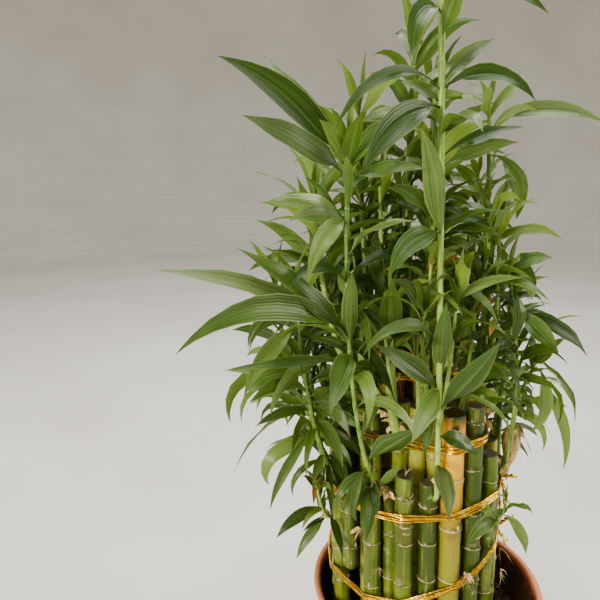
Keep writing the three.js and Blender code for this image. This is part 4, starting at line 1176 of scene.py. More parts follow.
def turn_between(a, b):
    """The angle between two bearings, from 0 to 180 degrees."""
    return abs((a - b + 540) % 360 - 180)


def foot_of(shoot):
    """Where a shoot leaves the side of its cane, or the top of the husk."""
    if shoot.get("husk"):
        return husk_place(HUSK_TOP - FOOT_BELOW_HUSK)
    ring = [cane for cane in canes if cane["ring"] == shoot["ring"]]
    if "on" in shoot:
        ring = [cane for cane in ring if cane["piece"] == shoot["on"]]
    cane = min(ring, key=lambda c: turn_between(c["bearing"], shoot["bearing"]))
    out = cane["radius"] + CLEAR_OF_SKIN + shoot["radius"]
    height = shoot.get("foot") or cane["top"] - FOOT_BELOW_CUT
    return on_axis(cane, height) + level(math.radians(shoot["bearing"]), out)


def curve_point(curve, t):
    """A point on the curve from foot over bend to tip, for t from 0 to 1."""
    foot, bend, tip = curve
    return foot * (1 - t) ** 2 + bend * (2 * t * (1 - t)) + tip * t**2


def curve_heading(curve, t):
    """The direction of that curve at t."""
    foot, bend, tip = curve
    return ((bend - foot) * (1 - t) + (tip - bend) * t).normalized()


def radius_at(stem, t):
    """A stem's radius at a place on its curve: most stems thin towards the tip."""
    return stem["radius"] * (1 - stem.get("taper", SHOOT_TAPER) * t)


def height_on(curve, height):
    """The place on a curve, from 0 to 1, that reaches a height."""
    low, high = 0.0, 1.0
    for _ in range(HALVINGS):
        middle = (low + high) / 2
        low, high = (middle, high) if curve_point(curve, middle).z < height else (low, middle)
    return low


def rest_shoot(number, name, ring, bearing, reach, tip, leaves, branch, long):
    """A shoot of the hidden sides, with its curve worked out from its row."""
    radius, top = RINGS[ring]
    veer = bearing + (REST["veer"] if number % 2 else -REST["veer"])
    bend = polar(radius + (reach - radius) * REST["reach"], veer, top + (tip - top) * REST["rise"])
    made = {"name": name, "ring": ring, "bearing": bearing, "bend": bend, "tip": polar(reach, veer, tip)}
    made |= {"long": long, "leaves": leaves, "branch": branch, "radius": REST["radius"], "from": REST["from"]}
    return made | {"seed": REST["seed"] + number * REST["seed_step"]}


shoots = SHOOTS + [rest_shoot(i, *row) for i, row in enumerate(REST_OF_CROWN)]
masses = ["mass_" + shoot["name"] for shoot in shoots]
for shoot in shoots:
    shoot["curve"] = (foot_of(shoot), Vector(shoot["bend"]), Vector(shoot["tip"]))
    if shoot["name"] == "crown_third_3":
        shoot["leading"] = DYING_INSIDE
print(len(shoots), "shoots, each the stem of one mass of leaves")

# %% [markdown]
# A long shoot forks once. Its side branch repeats a stretch of the shoot's own curve, turned about the
# tower's axis, so it leaves the shoot smoothly and stays inside the crown.

# %% Side branches
# Where on its shoot's curve a branch starts, bends and ends, and how much of the turn its bend makes; then
# its share of the shoot's thickness and leaves, and where its own leaves begin.
BRANCH = {"start": 0.22, "bend_at": 0.45, "tip_at": 0.68, "bend_turn": 0.75}
BRANCH |= {"thickness": 0.75, "leaves": 0.45, "from": 0.25}


def turned_about_tower(place, degrees):
    """A place turned about the tower's leaning axis."""
    turn = Matrix.Rotation(math.radians(degrees), 3, "Z")
    centre = leant(*TOWER, place.z)
    return turn @ (place - centre) + centre


def side_branch(shoot):
    """The branch of a shoot, as a stem of its own."""
    curve, turn = shoot["curve"], shoot["branch"]
    foot = curve_point(curve, BRANCH["start"])
    bend = turned_about_tower(curve_point(curve, BRANCH["bend_at"]), turn * BRANCH["bend_turn"])
    tip = turned_about_tower(curve_point(curve, BRANCH["tip_at"]), turn)
    leaves = round(shoot["leaves"] * BRANCH["leaves"])
    made = shoot | {"curve": (foot, bend, tip), "from": BRANCH["from"], "leaves": leaves, "side": True}
    return made | {"radius": shoot["radius"] * BRANCH["thickness"], "seed": shoot["seed"] + 5, "leading": []}


stems = list(shoots) + [side_branch(shoot) for shoot in shoots if shoot.get("branch")]
print(len(stems), "stems with the side branches")

# %% [markdown]
# Between the long shoots the real crown is full of short ones. The solids leave them out, and here most
# canes get one or two: low ones on the outer rings, higher ones inside. The front of the outer rings has
# none, because there the photograph shows bare canes, and on the thin side of the crown there are fewer.

# %% Small shoots
# Each ring: how far out its small shoots lean and how far above the canes they end, least and most.
SMALL = {"outer": (18, 58, 20, 150), "right": (8, 30, 20, 130)}
SMALL |= {"second": (12, 52, 40, 165), "third": (8, 40, 50, 170), "core": (4, 26, 40, 130)}
# Each ring: how many on a cane, and how far below the cut the lowest can start.
SMALL_EACH = {"outer": 1, "right": 1, "second": 2, "third": 2, "core": 2}
LOWEST_FOOT = {"outer": 70, "right": 70, "second": 30, "third": 30, "core": 30}
SMALL_STRAY, SECOND_TURN, SMALL_FROM = 14, 60, 0.16
# Each: the least, and how much more it may be.
SMALL_RADIUS, SMALL_LONG, SMALL_LEAVES = (2.5, 0.7), (74, 28), (6, 3)
AROUND, OPEN_FRONT = ("outer", "right", "inset"), (185, 350)
SPARSE_SIDE, SPARSE_WITHIN, SPARSE_FEWER_LEAVES = 345, 60, 2


def small_shoot(cane, draw, number):
    """A short shoot on the side of a cane; the second one of a cane grows further round it."""
    near, far, low, high = SMALL[cane["ring"]]
    top = cane["top"]
    bearing = cane["bearing"] + spread(draw, SMALL_STRAY) + SECOND_TURN * number
    reach = RINGS[cane["ring"]][0] + near + (far - near) * draw()
    tip = top + low + (high - low) * draw()
    bend = polar(reach - 4, bearing, top + (tip - top) * 0.3)
    shoot = {"ring": cane["ring"], "bearing": bearing, "from": SMALL_FROM}
    shoot["radius"] = SMALL_RADIUS[0] + SMALL_RADIUS[1] * draw()
    shoot["foot"] = top - 8 - LOWEST_FOOT[cane["ring"]] * draw()
    shoot["leaves"] = SMALL_LEAVES[0] + round(SMALL_LEAVES[1] * draw())
    shoot |= {"long": SMALL_LONG[0] + SMALL_LONG[1] * draw(), "seed": cane["seed"] + 7 + number}
    return shoot | {"curve": (foot_of(shoot), bend, polar(reach, bearing + spread(draw, 5), tip))}


draw = seeded(4242)
for cane in canes:
    in_open_front = cane["ring"] in AROUND and OPEN_FRONT[0] < cane["bearing"] % 360 < OPEN_FRONT[1]
    if in_open_front or cane["piece"] == "cane_dead":
        continue
    sparse = turn_between(cane["bearing"], SPARSE_SIDE) < SPARSE_WITHIN
    for number in range(1 if sparse else SMALL_EACH[cane["ring"]]):
        stems.append(small_shoot(cane, draw, number))
        if sparse:
            stems[-1]["leaves"] -= SPARSE_FEWER_LEAVES
print(len(stems), "stems with the small shoots")

# %% [markdown]
# A stem is extruded like a cane, from a collar inside its cane, and widens a little up each leaf sheath
# before it steps in again at the sheath's pale edge. A bevelled curve would be smoother, but it couldn't
# carry the mark for that edge.

# %% Extrude the stems
SHEATH, STEM_SIDES = 17, 8
# In a sheath: how far up it, how wide, and how strongly ringed.
SHEATH_SHAPE = [(0.06, 0.94, 0), (0.5, 1.0, 0), (0.93, 1.1, 0.3), (1, 1.12, 1)]
STEM_TONES, DARKER_TIP = 0.6, 0.3


def collar(stem):
    """Two stations that bring a stem out of its cane: a thin one inside and a swollen one at the skin."""
    foot, radius = stem["curve"][0], stem["radius"]
    away = level(math.radians(stem["bearing"]))
    out_and_up = (away + UP * 0.5).normalized()
    inside = (foot - away * (radius + 3) - UP * 5, out_and_up, radius * 0.8, 0, 0, 0)
    return [inside, (foot - away * radius * 0.7 - UP * 2.5, out_and_up, radius * 1.3, 0.6, 0, 0)]


def stem_stations(stem):
    """The stations of a stem, sheath after sheath along its curve."""
    curve, draw = stem["curve"], seeded(stem["seed"] + 3)
    foot, bend, tip = curve
    length = ((bend - foot).length + (tip - foot).length + (tip - bend).length) / 2
    tone = draw() * STEM_TONES + stem.get("paler", 0)
    rows = [] if stem.get("side") or stem.get("husk") else collar(stem)
    sheaths = max(3, round(length / SHEATH))
    for number in range(sheaths):
        for share, wide, mark in SHEATH_SHAPE:
            t = (number + share) / sheaths
            place, heading = curve_point(curve, t), curve_heading(curve, t)
            rows.append((place, heading, radius_at(stem, t) * wide, mark, 0, tone - DARKER_TIP * t))
    return rows


stem_piece = bmesh.new()
for mark in MARKS:
    stem_piece.verts.layers.float.new(mark)
for stem in stems:
    gather(stem_piece, extrude_tube(stem_stations(stem), STEM_SIDES))
boughs = [shoot["bough"] for shoot in shoots if shoot.get("bough")]
add_piece("shoot_stems", stem_piece, young_stem, boughs + masses)

# %% [markdown]
# ## The leaves
#
# One flat grid of a few dozen faces is the pattern for every blade: narrow at the foot, where it wraps
# its stem, widest at two fifths, and drawn out to a long tip. Copies of one bent leaf would look stamped,
# and a modifier on each of nine hundred would be slow. So each leaf bends the grid its own way, by a few
# lines of arithmetic on all its points at once: along a midrib that droops evenly, folded like a channel
# at the foot and flatter further out, with a waved margin and some twist.

# %% Blade pattern
# Where the grid's rows lie between foot and tip, and there: how wide the blade is, and how far it is folded.
ROW_PLACES = np.array([0, 0.05, 0.12, 0.2, 0.3, 0.4, 0.5, 0.61, 0.72, 0.82, 0.91, 0.965, 1])
OUTLINE_PLACES = [0, 0.06, 0.12, 0.2, 0.3, 0.42, 0.55, 0.7, 0.82, 0.92, 0.97, 1]
OUTLINE_WIDTHS = [0.22, 0.17, 0.22, 0.5, 0.84, 1, 0.95, 0.73, 0.45, 0.18, 0.07, 0.01]
FOLD_PLACES, FOLD_DEGREES = [0, 0.1, 0.25, 0.5, 1], [70, 50, 32, 20, 14]
# How much of a leaf's roll is reached at each place, so that the foot still clasps the stem.
ROLL_PLACES, ROLL_SHARES = [0, 0.05, 0.32, 1], [0, 0.1, 1, 1]
COLUMNS, ROWS = 4, len(ROW_PLACES) - 1

grid = bmesh.new()
bmesh.ops.create_grid(grid, x_segments=COLUMNS, y_segments=ROWS, size=1)
grid.verts.index_update()
flat = np.array([vertex.co[:] for vertex in grid.verts])
PATTERN_FACES = np.array([[vertex.index for vertex in face.verts] for face in grid.faces])
grid.free()
ACROSS = flat[:, 0]
ROW = np.rint((flat[:, 1] + 1) / 2 * ROWS).astype(int)
ALONG = ROW_PLACES[ROW]
HALF_WIDTH = np.interp(ALONG, OUTLINE_PLACES, OUTLINE_WIDTHS) / 2
FOLD = np.radians(np.interp(ALONG, FOLD_PLACES, FOLD_DEGREES))
ROLLED = np.interp(ALONG, ROLL_PLACES, ROLL_SHARES)
print("blade pattern:", len(flat), "points,", len(PATTERN_FACES), "faces")

# %% Bend a blade
FOLD_LIMIT = math.radians(78)
CURL_FROM = 0.5
# The first rows stand up along the stem: at this slope, and by these shares.
CLASPING, CLASPED = math.radians(84), (0.9, 0.4)
SKY = np.array([0, 0, 1])
WAVES_ALONG, WAVES_ACROSS, CUPPED = 15, 0.8, 0.1


def blade_points(leaf):
    """The pattern's points bent into one leaf, in millimetres."""
    bearing, rise, droop = (math.radians(leaf[key]) for key in ("bearing", "rise", "droop"))
    curl = math.radians(leaf["curl"]) * np.maximum(ROW_PLACES - CURL_FROM, 0) / (1 - CURL_FROM)
    slopes = rise - droop * ROW_PLACES - curl
    slopes[:2] += (CLASPING - slopes[:2]) * CLASPED
    steps = np.diff(ROW_PLACES) * leaf["length"]
    between = (slopes[1:] + slopes[:-1]) / 2
    out = np.r_[0, np.cumsum(np.cos(between) * steps)][ROW]
    up = np.r_[0, np.cumsum(np.sin(between) * steps)][ROW]
    slope = slopes[ROW]
    away = np.array([math.cos(bearing), math.sin(bearing), 0])
    side = np.array([-math.sin(bearing), math.cos(bearing), 0])
    above = np.cos(slope)[:, None] * SKY - np.sin(slope)[:, None] * away
    midrib = np.array(leaf["base"]) + out[:, None] * away + up[:, None] * SKY
    midrib = midrib + side * (leaf["sweep"] * leaf["length"] * ALONG**2)[:, None]
    twist = math.radians(leaf["twist"]) * ALONG + leaf["roll"] * ROLLED
    sideways = np.cos(twist)[:, None] * side + np.sin(twist)[:, None] * above
    normal = np.cos(twist)[:, None] * above - np.sin(twist)[:, None] * side
    half = HALF_WIDTH * leaf["width"]
    fold = np.minimum(FOLD * leaf["fold"], FOLD_LIMIT)
    wave = np.sin(ALONG * WAVES_ALONG + leaf["phase"] + ACROSS * WAVES_ACROSS)
    wave = leaf["wave"] * wave * np.abs(ACROSS) * HALF_WIDTH * 2
    lift = np.abs(ACROSS) * half * np.sin(fold) - CUPPED * half * ACROSS**2 + wave
    return midrib + sideways * (ACROSS * half * np.cos(fold))[:, None] + normal * lift[:, None]


# %% [markdown]
# A living leaf turns one face to the light, and no leaf is quite straight. So every leaf, whatever rule
# placed it, gets its own roll, twist, sweep, curl, fold, waves and tone. The roll is worked out from
# where the leaf stands, since a drawn one would show as many edges as faces.

# %% What makes each leaf its own
MOST_ROLL = math.radians(60)
# The share of the droop that is reached where a blade is widest.
MIDDLE_DROOP = 0.45
SWEEP, TWIST, DRY_SHARE = 0.2, 90, 0.13
# Each: the least, and how much more it may be.
CURL, FOLDING, WAVE = (-15, 80), (0.75, 0.6), (0.5, 1.5)


def roll_towards(leaf, target):
    """How far a blade turns about its midrib for one of its faces to look towards a direction."""
    bearing, slope = math.radians(leaf["bearing"]), math.radians(leaf["rise"] - MIDDLE_DROOP * leaf["droop"])
    away = level(bearing)
    side = Vector((-math.sin(bearing), math.cos(bearing), 0))
    above = UP * math.cos(slope) - away * math.sin(slope)
    roll = math.atan2(-side.dot(target), above.dot(target))
    if abs(roll) > math.pi / 2:
        roll -= math.copysign(math.pi, roll)
    return max(-MOST_ROLL, min(MOST_ROLL, roll))


def natural(leaf, draw, tame=1.0, face=None):
    """Gives a leaf its own roll, twist, sweep, waves and tone; tame below 1 keeps it closer to its row."""
    outward = (leaf["base"] - leant(*TOWER, leaf["base"].z)).normalized()
    wild = Vector((spread(draw, 1), spread(draw, 1), spread(draw, 0.5)))
    leaf["roll"] = roll_towards(leaf, face or outward * 0.7 + UP + wild)
    leaf["sweep"] = spread(draw, SWEEP) * tame
    leaf["twist"] = spread(draw, TWIST) * tame
    leaf["curl"] = (CURL[0] + CURL[1] * draw()) * tame
    leaf["fold"] = FOLDING[0] + FOLDING[1] * draw()
    leaf["wave"] = WAVE[0] + WAVE[1] * draw()
    leaf["phase"] = draw() * 6.28
    leaf["tone"] = draw()
    leaf["dry"] = 1.0 if draw() < DRY_SHARE else 0.0
    return leaf


# %% [markdown]
# The leaves of the rule stand in a spiral up each stem, 137.5 degrees apart: short and steep at the tip,
# longer and drooping below. It is the rule of the part's source, with broader blades and more of them. A
# particle system would scatter leaves evenly, but a spiral is what gives these plants their look.

# %% The rule of the leaves
RULE = {"turn": 137.5, "scatter": 30, "seed_turn": 40, "shortest": 0.72, "tip_shortening": 0.3}
# Rise and droop in degrees: at the foot of the stem, more towards its tip, more by chance.
RISE, DROOP = (20, 46, 26), (84, -48, 52)
# Width: a fixed part, a share of the length, and a share of the length by chance.
WIDTH = (3.6, 0.068, 0.105)
LONGER, MORE_LEAVES, DENSEST, FEWEST = 1.12, 1.7, 7.5, 4
# Shares of fresh and of deep leaves: everywhere, and more towards the tip or towards the foot, where the
# deep ones are old and also paint the shade low in the crown.
FRESH, DEEP = (0.05, 0.28), (0.14, 0.62)


def kind_of(along, draw):
    """Deals out the kinds: fresh ones towards a shoot's tip, deep ones low, where leaves are old and in
    painted shade, the others mid green.
    """
    pick = draw()
    fresh = FRESH[0] + FRESH[1] * along**2
    deep = DEEP[0] + DEEP[1] * (1 - along)
    if pick < fresh:
        return "fresh"
    if pick < fresh + deep:
        return "deep"
    return "mid"


def rule_leaves(stem, number):
    """A spiral of leaves up one stem."""
    draw = seeded(stem["seed"])
    curve, start = stem["curve"], stem["from"]
    room = (curve[2] - curve[0]).length * (1 - start) / DENSEST
    count = int(min(round(stem["leaves"] * MORE_LEAVES), max(room, FEWEST)))
    made = []
    for i in range(count):
        along = start + (1 - start) * (i + 0.6) / count
        leaf = {"owner": number, "base": curve_point(curve, along)}
        leaf["bearing"] = stem["seed"] * RULE["seed_turn"] + i * RULE["turn"]
        leaf["bearing"] += (draw() - 0.5) * RULE["scatter"]
        share = RULE["shortest"] + (1 - RULE["shortest"]) * draw()
        leaf["length"] = stem["long"] * LONGER * share * (1 - RULE["tip_shortening"] * along**2)
        leaf["rise"] = RISE[0] + RISE[1] * along + RISE[2] * draw()
        leaf["droop"] = DROOP[0] + DROOP[1] * along + DROOP[2] * draw()
        leaf["width"] = WIDTH[0] + leaf["length"] * (WIDTH[1] + WIDTH[2] * draw())
        leaf["kind"] = kind_of(along, draw)
        made.append(natural(leaf, draw))
    return made


# %% [markdown]
# Two sorts of leaves don't follow the rule. The leading ones are placed by their rows, so that the plant
# has the photograph's outline, and their faces turn towards the view as they do there. The youngest two
# or three at a stem's tip stand nearly upright, still half rolled.

# %% Leading leaves and tip leaves
LEADING_FACE, LEADING_TAME, LEADING_WIDER = Vector((0.1, -1, 0.5)), 0.3, 1.02
TIP_LEAVES, TIP_TAME, TIP_START, TIP_STEP = 3, 0.5, 0.99, 0.015


def leading_leaves(stem, number):
    """The leaves that the photograph shows one by one, with a kind where it isn't mid green."""
    draw = seeded(stem["seed"] + 1)
    made = []
    for height, bearing, length, width, rise, droop, *more in stem.get("leading", []):
        base = curve_point(stem["curve"], height_on(stem["curve"], height))
        leaf = {"owner": number, "base": base, "bearing": bearing, "length": length}
        leaf["width"] = width * LEADING_WIDER
        leaf |= {"rise": rise, "droop": droop, "kind": more[0] if more else "mid"}
        leaf = natural(leaf, draw, LEADING_TAME, LEADING_FACE)
        leaf["dry"] = float(more[1]) if len(more) > 1 else leaf["dry"]
        made.append(leaf)
    return made


def tip_leaves(stem, number):
    """The young leaves at a stem's tip, the innermost the steepest and the most rolled."""
    draw = seeded(stem["seed"] + 2)
    made = []
    for i in range(TIP_LEAVES):
        leaf = {"owner": number, "base": curve_point(stem["curve"], TIP_START - TIP_STEP * i)}
        leaf |= {"bearing": draw() * 120 + i * 130, "length": stem["long"] * (0.42 + 0.2 * draw() + 0.1 * i)}
        leaf |= {"rise": 88 - 9 * i, "droop": 4 + 16 * i + 14 * draw(), "kind": "fresh"}
        leaf["width"] = 3.5 + leaf["length"] * (0.08 + 0.04 * i)
        leaf = natural(leaf, draw, TIP_TAME)
        leaf["fold"] = 2.2 - 0.5 * i
        made.append(leaf)
    return made


# %% [markdown]
# Leaves in nature push each other aside. Cloth physics could do that, but it would take long and move the
# leading leaves. So a leaf that would cut through a cane, another stem or another leaf is turned to
# either side, and left out when no turn helps; a leading leaf is then kept as it is. The test uses a
# coarse copy of the free part of each blade, beyond the foot. A blade that would leave the reach of the
# solids is left out.

# %% Coarse shells for the test
COARSE_ROWS, COARSE_COLUMNS = (2, 4, 6, 8, 10, 12), (-1, 0, 1)
order = {(int(row), round(float(across), 2)): i for i, (row, across) in enumerate(zip(ROW, ACROSS))}
COARSE = [order[row, float(across)] for row in COARSE_ROWS for across in COARSE_COLUMNS]
WIDE = len(COARSE_COLUMNS)
COARSE_FACES = [
    (row * WIDE + i, row * WIDE + i + 1, (row + 1) * WIDE + i + 1, (row + 1) * WIDE + i)
    for row in range(len(COARSE_ROWS) - 1)
    for i in range(WIDE - 1)
]
# A blade stays this far inside the reach of the solids.
INSIDE = 2
reach_low = np.array(size_before[0]) / MM + (INSIDE, INSIDE, 0)
reach_high = np.array(size_before[1]) / MM - (INSIDE, INSIDE, INSIDE)


def shell_of(places, radii, sides=6):
    """A coarse tube about a few points, for the test alone."""
    points, faces = [], []
    for place, radius in zip(places, radii):
        points += [place + level(FULL_TURN * k / sides, radius) for k in range(sides)]
    for i in range(len(places) - 1):
        for k in range(sides):
            a, b = i * sides + k, i * sides + (k + 1) % sides
            faces.append((a, b, b + sides, a + sides))
    return BVHTree.FromPolygons(points, faces), np.array(points)


# %% Finding room for a leaf
placed, boxes = [], []
CLEAR_OF_CANE, STEM_SPOTS = 0.6, 8
# Each: height, radius.
POT_INSIDE = [(177, 116), (225, 129)]


def keep(tree, points, owner):
    """Notes a shape that later leaves have to keep clear of."""
    placed.append((tree, owner))
    boxes.append(np.r_[points.min(0), points.max(0)])


def has_room(tree, points, owner):
    """Whether a blade stays in reach and cuts nothing but what belongs to its own stem."""
    low, high = points.min(0), points.max(0)
    if (low < reach_low).any() or (high > reach_high).any():
        return False
    known = np.array(boxes)
    near = np.flatnonzero((known[:, :3] <= high).all(1) & (known[:, 3:] >= low).all(1))
    return all(placed[i][1] == owner or not tree.overlap(placed[i][0]) for i in near)


for cane in canes:
    ends = [on_axis(cane, cane["foot"]), on_axis(cane, cane["top"] + 1)]
    keep(*shell_of(ends, [cane["radius"] + CLEAR_OF_CANE] * 2, 8), "canes")
for number, stem in enumerate(stems):
    spots = [i / STEM_SPOTS for i in range(STEM_SPOTS + 1)]
    places = [curve_point(stem["curve"], t) for t in spots]
    keep(*shell_of(places, [radius_at(stem, t) for t in spots]), ("stem", number))
keep(*shell_of([UP * height for height, _ in POT_INSIDE], [radius for _, radius in POT_INSIDE], 24), "pot")

# %% [markdown]
# The crown isn't equally dense all over: in some places the photograph looks in, at the ties, the husk
# and the yellow leaves. There a few unseen columns, standing one before another towards the view, keep
# leaves away. They are shapes for the test alone and never become a mesh.

# %% Gaps in the crown
# Each: x, y, lowest and highest height, radius, how many columns stand one before another.
GAPS = [(78, -22, 372, 432, 13, 5), (-35, -38, 470, 522, 9, 4), (4, -54, 490, 512, 12, 3)]
GAPS += [(-2, -80, 438, 476, 10, 2), (-60, -84, 470, 496, 9, 1), (27, -70, 522, 552, 9, 2)]
TOWARDS_VIEW = Vector((-4, -20, 6))
for x, y, low, high, radius, depth in GAPS:
    for step in range(1, depth + 1):
        ends = [Vector((x, y, z)) + TOWARDS_VIEW * step for z in (low, high)]
        keep(*shell_of(ends, [radius, radius], 8), "gap")

# %% [markdown]
# Now the leaves grow, the leading ones of all stems first, so that no leaf of the rule takes their place.
# The foot of a blade starts a little lower on the stem, because its first rows clasp it as they go up.

# %% Grow the leaves
FOOT_LOWERED = 0.03
LEADING_TURNS = (0, 5, -5, 10, -10)
RULE_TURNS = (0, 24, -24, 48, -48)
leaves = []


def place_leaf(leaf, turns, must=False):
    """Keeps a leaf at the first turn that has room; one that must show is kept as it is if none has."""
    first = None
    leaf["base"] = leaf["base"] - UP * (FOOT_LOWERED * leaf["length"])
    for turn in turns:
        tried = leaf | {"bearing": leaf["bearing"] + turn}
        points = blade_points(tried)
        coarse = points[COARSE]
        tree = BVHTree.FromPolygons(coarse.tolist(), COARSE_FACES)
        first = first or (tried, points, tree, coarse)
        if has_room(tree, coarse, ("stem", leaf["owner"])):
            break
    else:
        if not must:
            return
        tried, points, tree, coarse = first
    keep(tree, coarse, "leaf")
    leaves.append(tried | {"points": points})


for number, stem in enumerate(stems):
    for leaf in leading_leaves(stem, number):
        place_leaf(leaf, LEADING_TURNS, must=True)
for number, stem in enumerate(stems):
    for leaf in tip_leaves(stem, number) + rule_leaves(stem, number):
        place_leaf(leaf, RULE_TURNS)
print(len(leaves), "leaves found room")

# %% [markdown]
# Nine hundred leaves as objects of their own would be slow to handle, so the blades of one kind are
# joined into one mesh: the pattern's faces are repeated for each leaf, its map is laid on every blade,
# and the tone and the dry tips are written as marks, which keep each leaf's own look.


# %% Join each kind of leaf
def joined_blades(name, chosen, material, stands_for=masses):
    """One piece from the bent blades of many leaves."""
    size = len(ALONG)
    points = np.concatenate([leaf["points"] for leaf in chosen])
    faces = np.concatenate([PATTERN_FACES + size * i for i in range(len(chosen))])
    mesh = bpy.data.meshes.new(name)
    mesh.from_pydata(points.tolist(), [], faces.tolist())
    blade_map = np.stack([(ACROSS + 1) / 2, ALONG], axis=1)
    corners = np.empty(len(mesh.loops), np.int32)
    mesh.loops.foreach_get("vertex_index", corners)
    mesh.uv_layers.new(name="blade").data.foreach_set("uv", blade_map[corners % size].ravel())
    for mark in ("tone", "dry"):
        values = np.repeat([leaf[mark] for leaf in chosen], size)
        mesh.attributes.new(mark, "FLOAT", "POINT").data.foreach_set("value", values)
    add_mesh_piece(name, mesh, material, stands_for)


for kind, material in LEAF_KINDS.items():
    chosen = [leaf for leaf in leaves if leaf["kind"] == kind]
    print(kind, len(chosen), "leaves")
    if chosen:
        joined_blades(kind + "_leaves", chosen, material)

# %% [markdown]
# Small dry remains finish the plant. At the foot of every shoot, and loose on a few front canes, are the
# papery ends of old sheaths. They are torn leaf bases, so they are made with the blade pattern, short and
# strongly curled, and share the husk's finish.

# %% Dry sheath ends
SHEATH_ENDS, FLATTER, LOOSE_FLATTER = 3, 0.8, 0.9
ON_SKIN = 8.4
# Loose papery bits of the front canes: where round the tower, height, bearing, length, width, rise, droop.
PAPERY = [
    (242, 389, 250, 14, 7, 30, 90), (243, 387, 300, 12, 6, 50, 120), (241, 386, 205, 15, 6, 10, 60),
    (227, 338, 236, 22, 8, 12, 40), (226, 336, 200, 16, 6, 30, 80), (290, 300, 300, 13, 7, 40, 110),
    (291, 297, 340, 12, 6, 10, 70), (290, 303, 262, 10, 5, 20, 60),
]
draw = seeded(640)
dry_ends = []
for stem in stems:
    if stem.get("side") or stem.get("husk"):
        continue
    for i in range(SHEATH_ENDS):
        end = {"base": curve_point(stem["curve"], 0.005 + 0.02 * i)}
        end |= {"bearing": stem["bearing"] + spread(draw, 100)}
        end |= {"length": 9 + 13 * draw(), "width": 5 + 5 * draw()}
        end |= {"rise": 40 + 50 * draw(), "droop": 40 + 140 * draw()}
        dry_ends.append(natural(end, draw) | {"wave": FLATTER})
for around, height, bearing, length, width, rise, droop in PAPERY:
    end = {"base": polar(RINGS["outer"][0] + ON_SKIN, around, height), "bearing": bearing}
    end |= {"length": length, "width": width, "rise": rise, "droop": droop}
    dry_ends.append(natural(end, draw) | {"wave": LOOSE_FLATTER})
for end in dry_ends:
    end["points"] = blade_points(end)
canes_standing = sorted({cane["piece"] for cane in canes})
joined_blades("dry_sheath_ends", dry_ends, husk_fibre, canes_standing)

# %% [markdown]
# Cut canes try to root in the air: pale rootlets and fibres stand from them in tufts, and small brown
# buds sit above some rings. They are too thin for anything but tubes, and a hair system would be lost in
# the export, so each is extruded from a few stations, like a very thin cane.

# %% Rootlets, fibres and buds
# Each tuft: place, aim, number of fibres, their length. The last one is a pair of long tendrils.
TUFTS = [
    ((16, -86, 296), (0.2, -1, 0.1), 16, 17),
    ((-78, -60, 332), (-0.6, -0.8, 0), 14, 15),
    ((-42, -92, 384), (-0.3, -0.8, 0.5), 14, 14),
    ((62, -66, 288), (0.3, -0.5, -1), 5, 18),
    ((66, -48, 300), (0.4, -0.3, -1), 3, 20),
    ((-66, -78, 300), (-0.3, -1, -0.3), 8, 12),
    ((-46, -84, 406), (0.25, -0.1, 2), 2, 34),
]
FIBRE_ROWS, FIBRE_SIDES = 8, 5
# Each: how far along the bud, radius.
BUD_SHAPE = [(0, 1.9), (1.5, 2.1), (3.3, 1.5), (4.8, 0.8), (6, 0.12)]
NO_BUD, BUD_BEARING = 0.72, (262, 70)


def fibre(foot, aim, length, radius, draw):
    """A thin curly tube that thins to nothing."""
    aim = (Vector(aim) + Vector((spread(draw, 0.8), spread(draw, 0.8), spread(draw, 0.8)))).normalized()
    bend = Vector((spread(draw, 1), spread(draw, 1), spread(draw, 1) - 0.4)) * length * 0.5
    wiggle, stations = draw() * 6, []
    for i in range(FIBRE_ROWS):
        t = i / (FIBRE_ROWS - 1)
        curl = Vector((math.sin(5 * t + wiggle), math.cos(4 * t + wiggle), 0)) * 1.2 * t
        place = foot + aim * length * t + bend * t * t + curl
        stations.append((place, aim + bend * 2 * t / length, radius * (1.05 - t), 0, 0, 0))
    return extrude_tube(stations, FIBRE_SIDES)


tufts = bmesh.new()
for place, aim, count, length in TUFTS:
    for _ in range(count):
        gather(tufts, fibre(Vector(place), aim, length * (0.5 + 0.6 * draw()), 0.35 + 0.3 * draw(), draw))
for cane in canes:
    for height in cane.get("ringed", ()):
        if draw() < NO_BUD or height > cane["top"] - 12:
            continue
        aim = level(math.radians(BUD_BEARING[0] + spread(draw, BUD_BEARING[1])))
        foot = on_axis(cane, height + 1.5) + aim * (cane["radius"] - 1.2)
        lean = UP + aim * 0.2
        gather(tufts, extrude_tube([(foot + lean * z, lean, wide, 0, 0, 0) for z, wide in BUD_SHAPE], 8))
add_piece("rootlets_and_buds", tufts, root_fibre, canes_standing)

# %% [markdown]
# ## Stage, light and camera
#
# The plant stands on a plain pale floor that bends up into a wall all round, so no edge shows from any
# side. A square sheet would do for one view only, so the floor is an outline spun about the plant, as the
# pot is.

# %% Floor
SWEEP_RADIUS, SWEEP_BEND, SWEEP_WALL, SWEEP_STEPS = 5000, 1600, 5200, 96
sweep_outline = [(0, 0), (SWEEP_RADIUS - SWEEP_BEND, 0)]
for degrees in range(0, 91, 6):
    turn = math.radians(degrees)
    reach = SWEEP_RADIUS - SWEEP_BEND + SWEEP_BEND * math.sin(turn)
    sweep_outline.append((reach, SWEEP_BEND * (1 - math.cos(turn))))
sweep_outline.append((SWEEP_RADIUS, SWEEP_WALL))
floor_mesh = spun(sweep_outline, SWEEP_STEPS, ())
bmesh.ops.scale(floor_mesh, vec=(MM, MM, MM), verts=floor_mesh.verts)
floor_data = bpy.data.meshes.new("floor")
floor_mesh.to_mesh(floor_data)
floor_mesh.free()
floor = bpy.data.objects.new("floor", floor_data)
bpy.context.scene.collection.objects.link(floor)
floor_finish, floor_tree, floor_shader, floor_place = start_finish("pale studio floor", roughness=0.8)
floor_clouds = add(floor_tree, "TexNoise", {0: floor_place, "Scale": grains(400)})
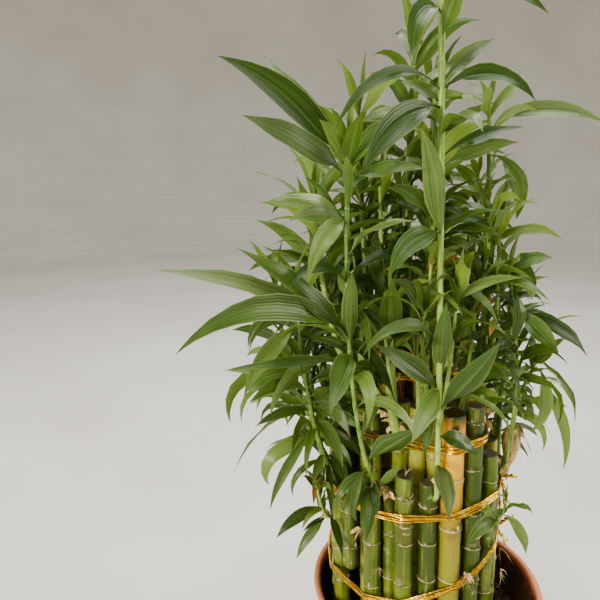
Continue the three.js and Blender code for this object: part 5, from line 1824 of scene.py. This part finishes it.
floor_colour = add(floor_tree, "ValToRGB", {0: floor_clouds}, stops=[(0.3, "#CFCBC4"), (0.7, "#D8D5CF")])
wire(floor_tree, floor_shader, Base_Color=floor_colour)
floor_data.materials.append(floor_finish)
print("floor:", len(floor_data.polygons), "faces")

# %% [markdown]
# The photograph is lit by an open roof: soft from all sides, a little brighter from above and from the
# front left. A pale even sky gives the softness, and three broad area lights give the leaves their gloss
# and the canes their shape, as the sky alone would leave them flat.

# %% Light
SKY_STRENGTH = 0.5
world = bpy.data.worlds.new("soft sky")
bpy.context.scene.world = world
world.use_nodes = True
world.node_tree.nodes["Background"].inputs["Color"].default_value = linear("#E8E8E2")
world.node_tree.nodes["Background"].inputs["Strength"].default_value = SKY_STRENGTH


def soft_light(name, place, target, size, power, colour):
    """A square area light in metres and watts that looks towards a target."""
    lamp = bpy.data.lights.new(name, "AREA")
    lamp.size, lamp.energy, lamp.color = size, power, linear(colour)[:3]
    held = bpy.data.objects.new(name, lamp)
    bpy.context.scene.collection.objects.link(held)
    held.location = place
    held.rotation_euler = (Vector(target) - Vector(place)).to_track_quat("-Z", "Y").to_euler()


soft_light("roof light", (0.1, 0.5, 2.6), (0, 0, 0.5), 2.4, 85, "#FFFFFF")
soft_light("front light", (-1.7, -1.9, 1.1), (0, 0, 0.33), 0.8, 66, "#FFF8EC")
soft_light("right light", (2.1, -0.4, 1.3), (0, 0, 0.45), 1.2, 26, "#FBFAF2")
bpy.context.scene.view_settings.look = "AgX - Medium High Contrast"

# %% [markdown]
# The camera stands where the photograph was taken from, which was worked out from the ellipse of the
# pot's rim and from the canes. It looks slightly down on the plant and crops the pot as the photograph
# does.

# %% Camera
LENS_MM, SENSOR_MM, TILT = 36, 36, 75.5
camera_data = bpy.data.cameras.new("camera")
camera_data.lens, camera_data.sensor_width = LENS_MM, SENSOR_MM
camera = bpy.data.objects.new("camera", camera_data)
camera.location = (-0.1466, -0.60, 0.715)
camera.rotation_euler = (math.radians(TILT), 0, 0)
bpy.context.scene.collection.objects.link(camera)
bpy.context.scene.camera = camera
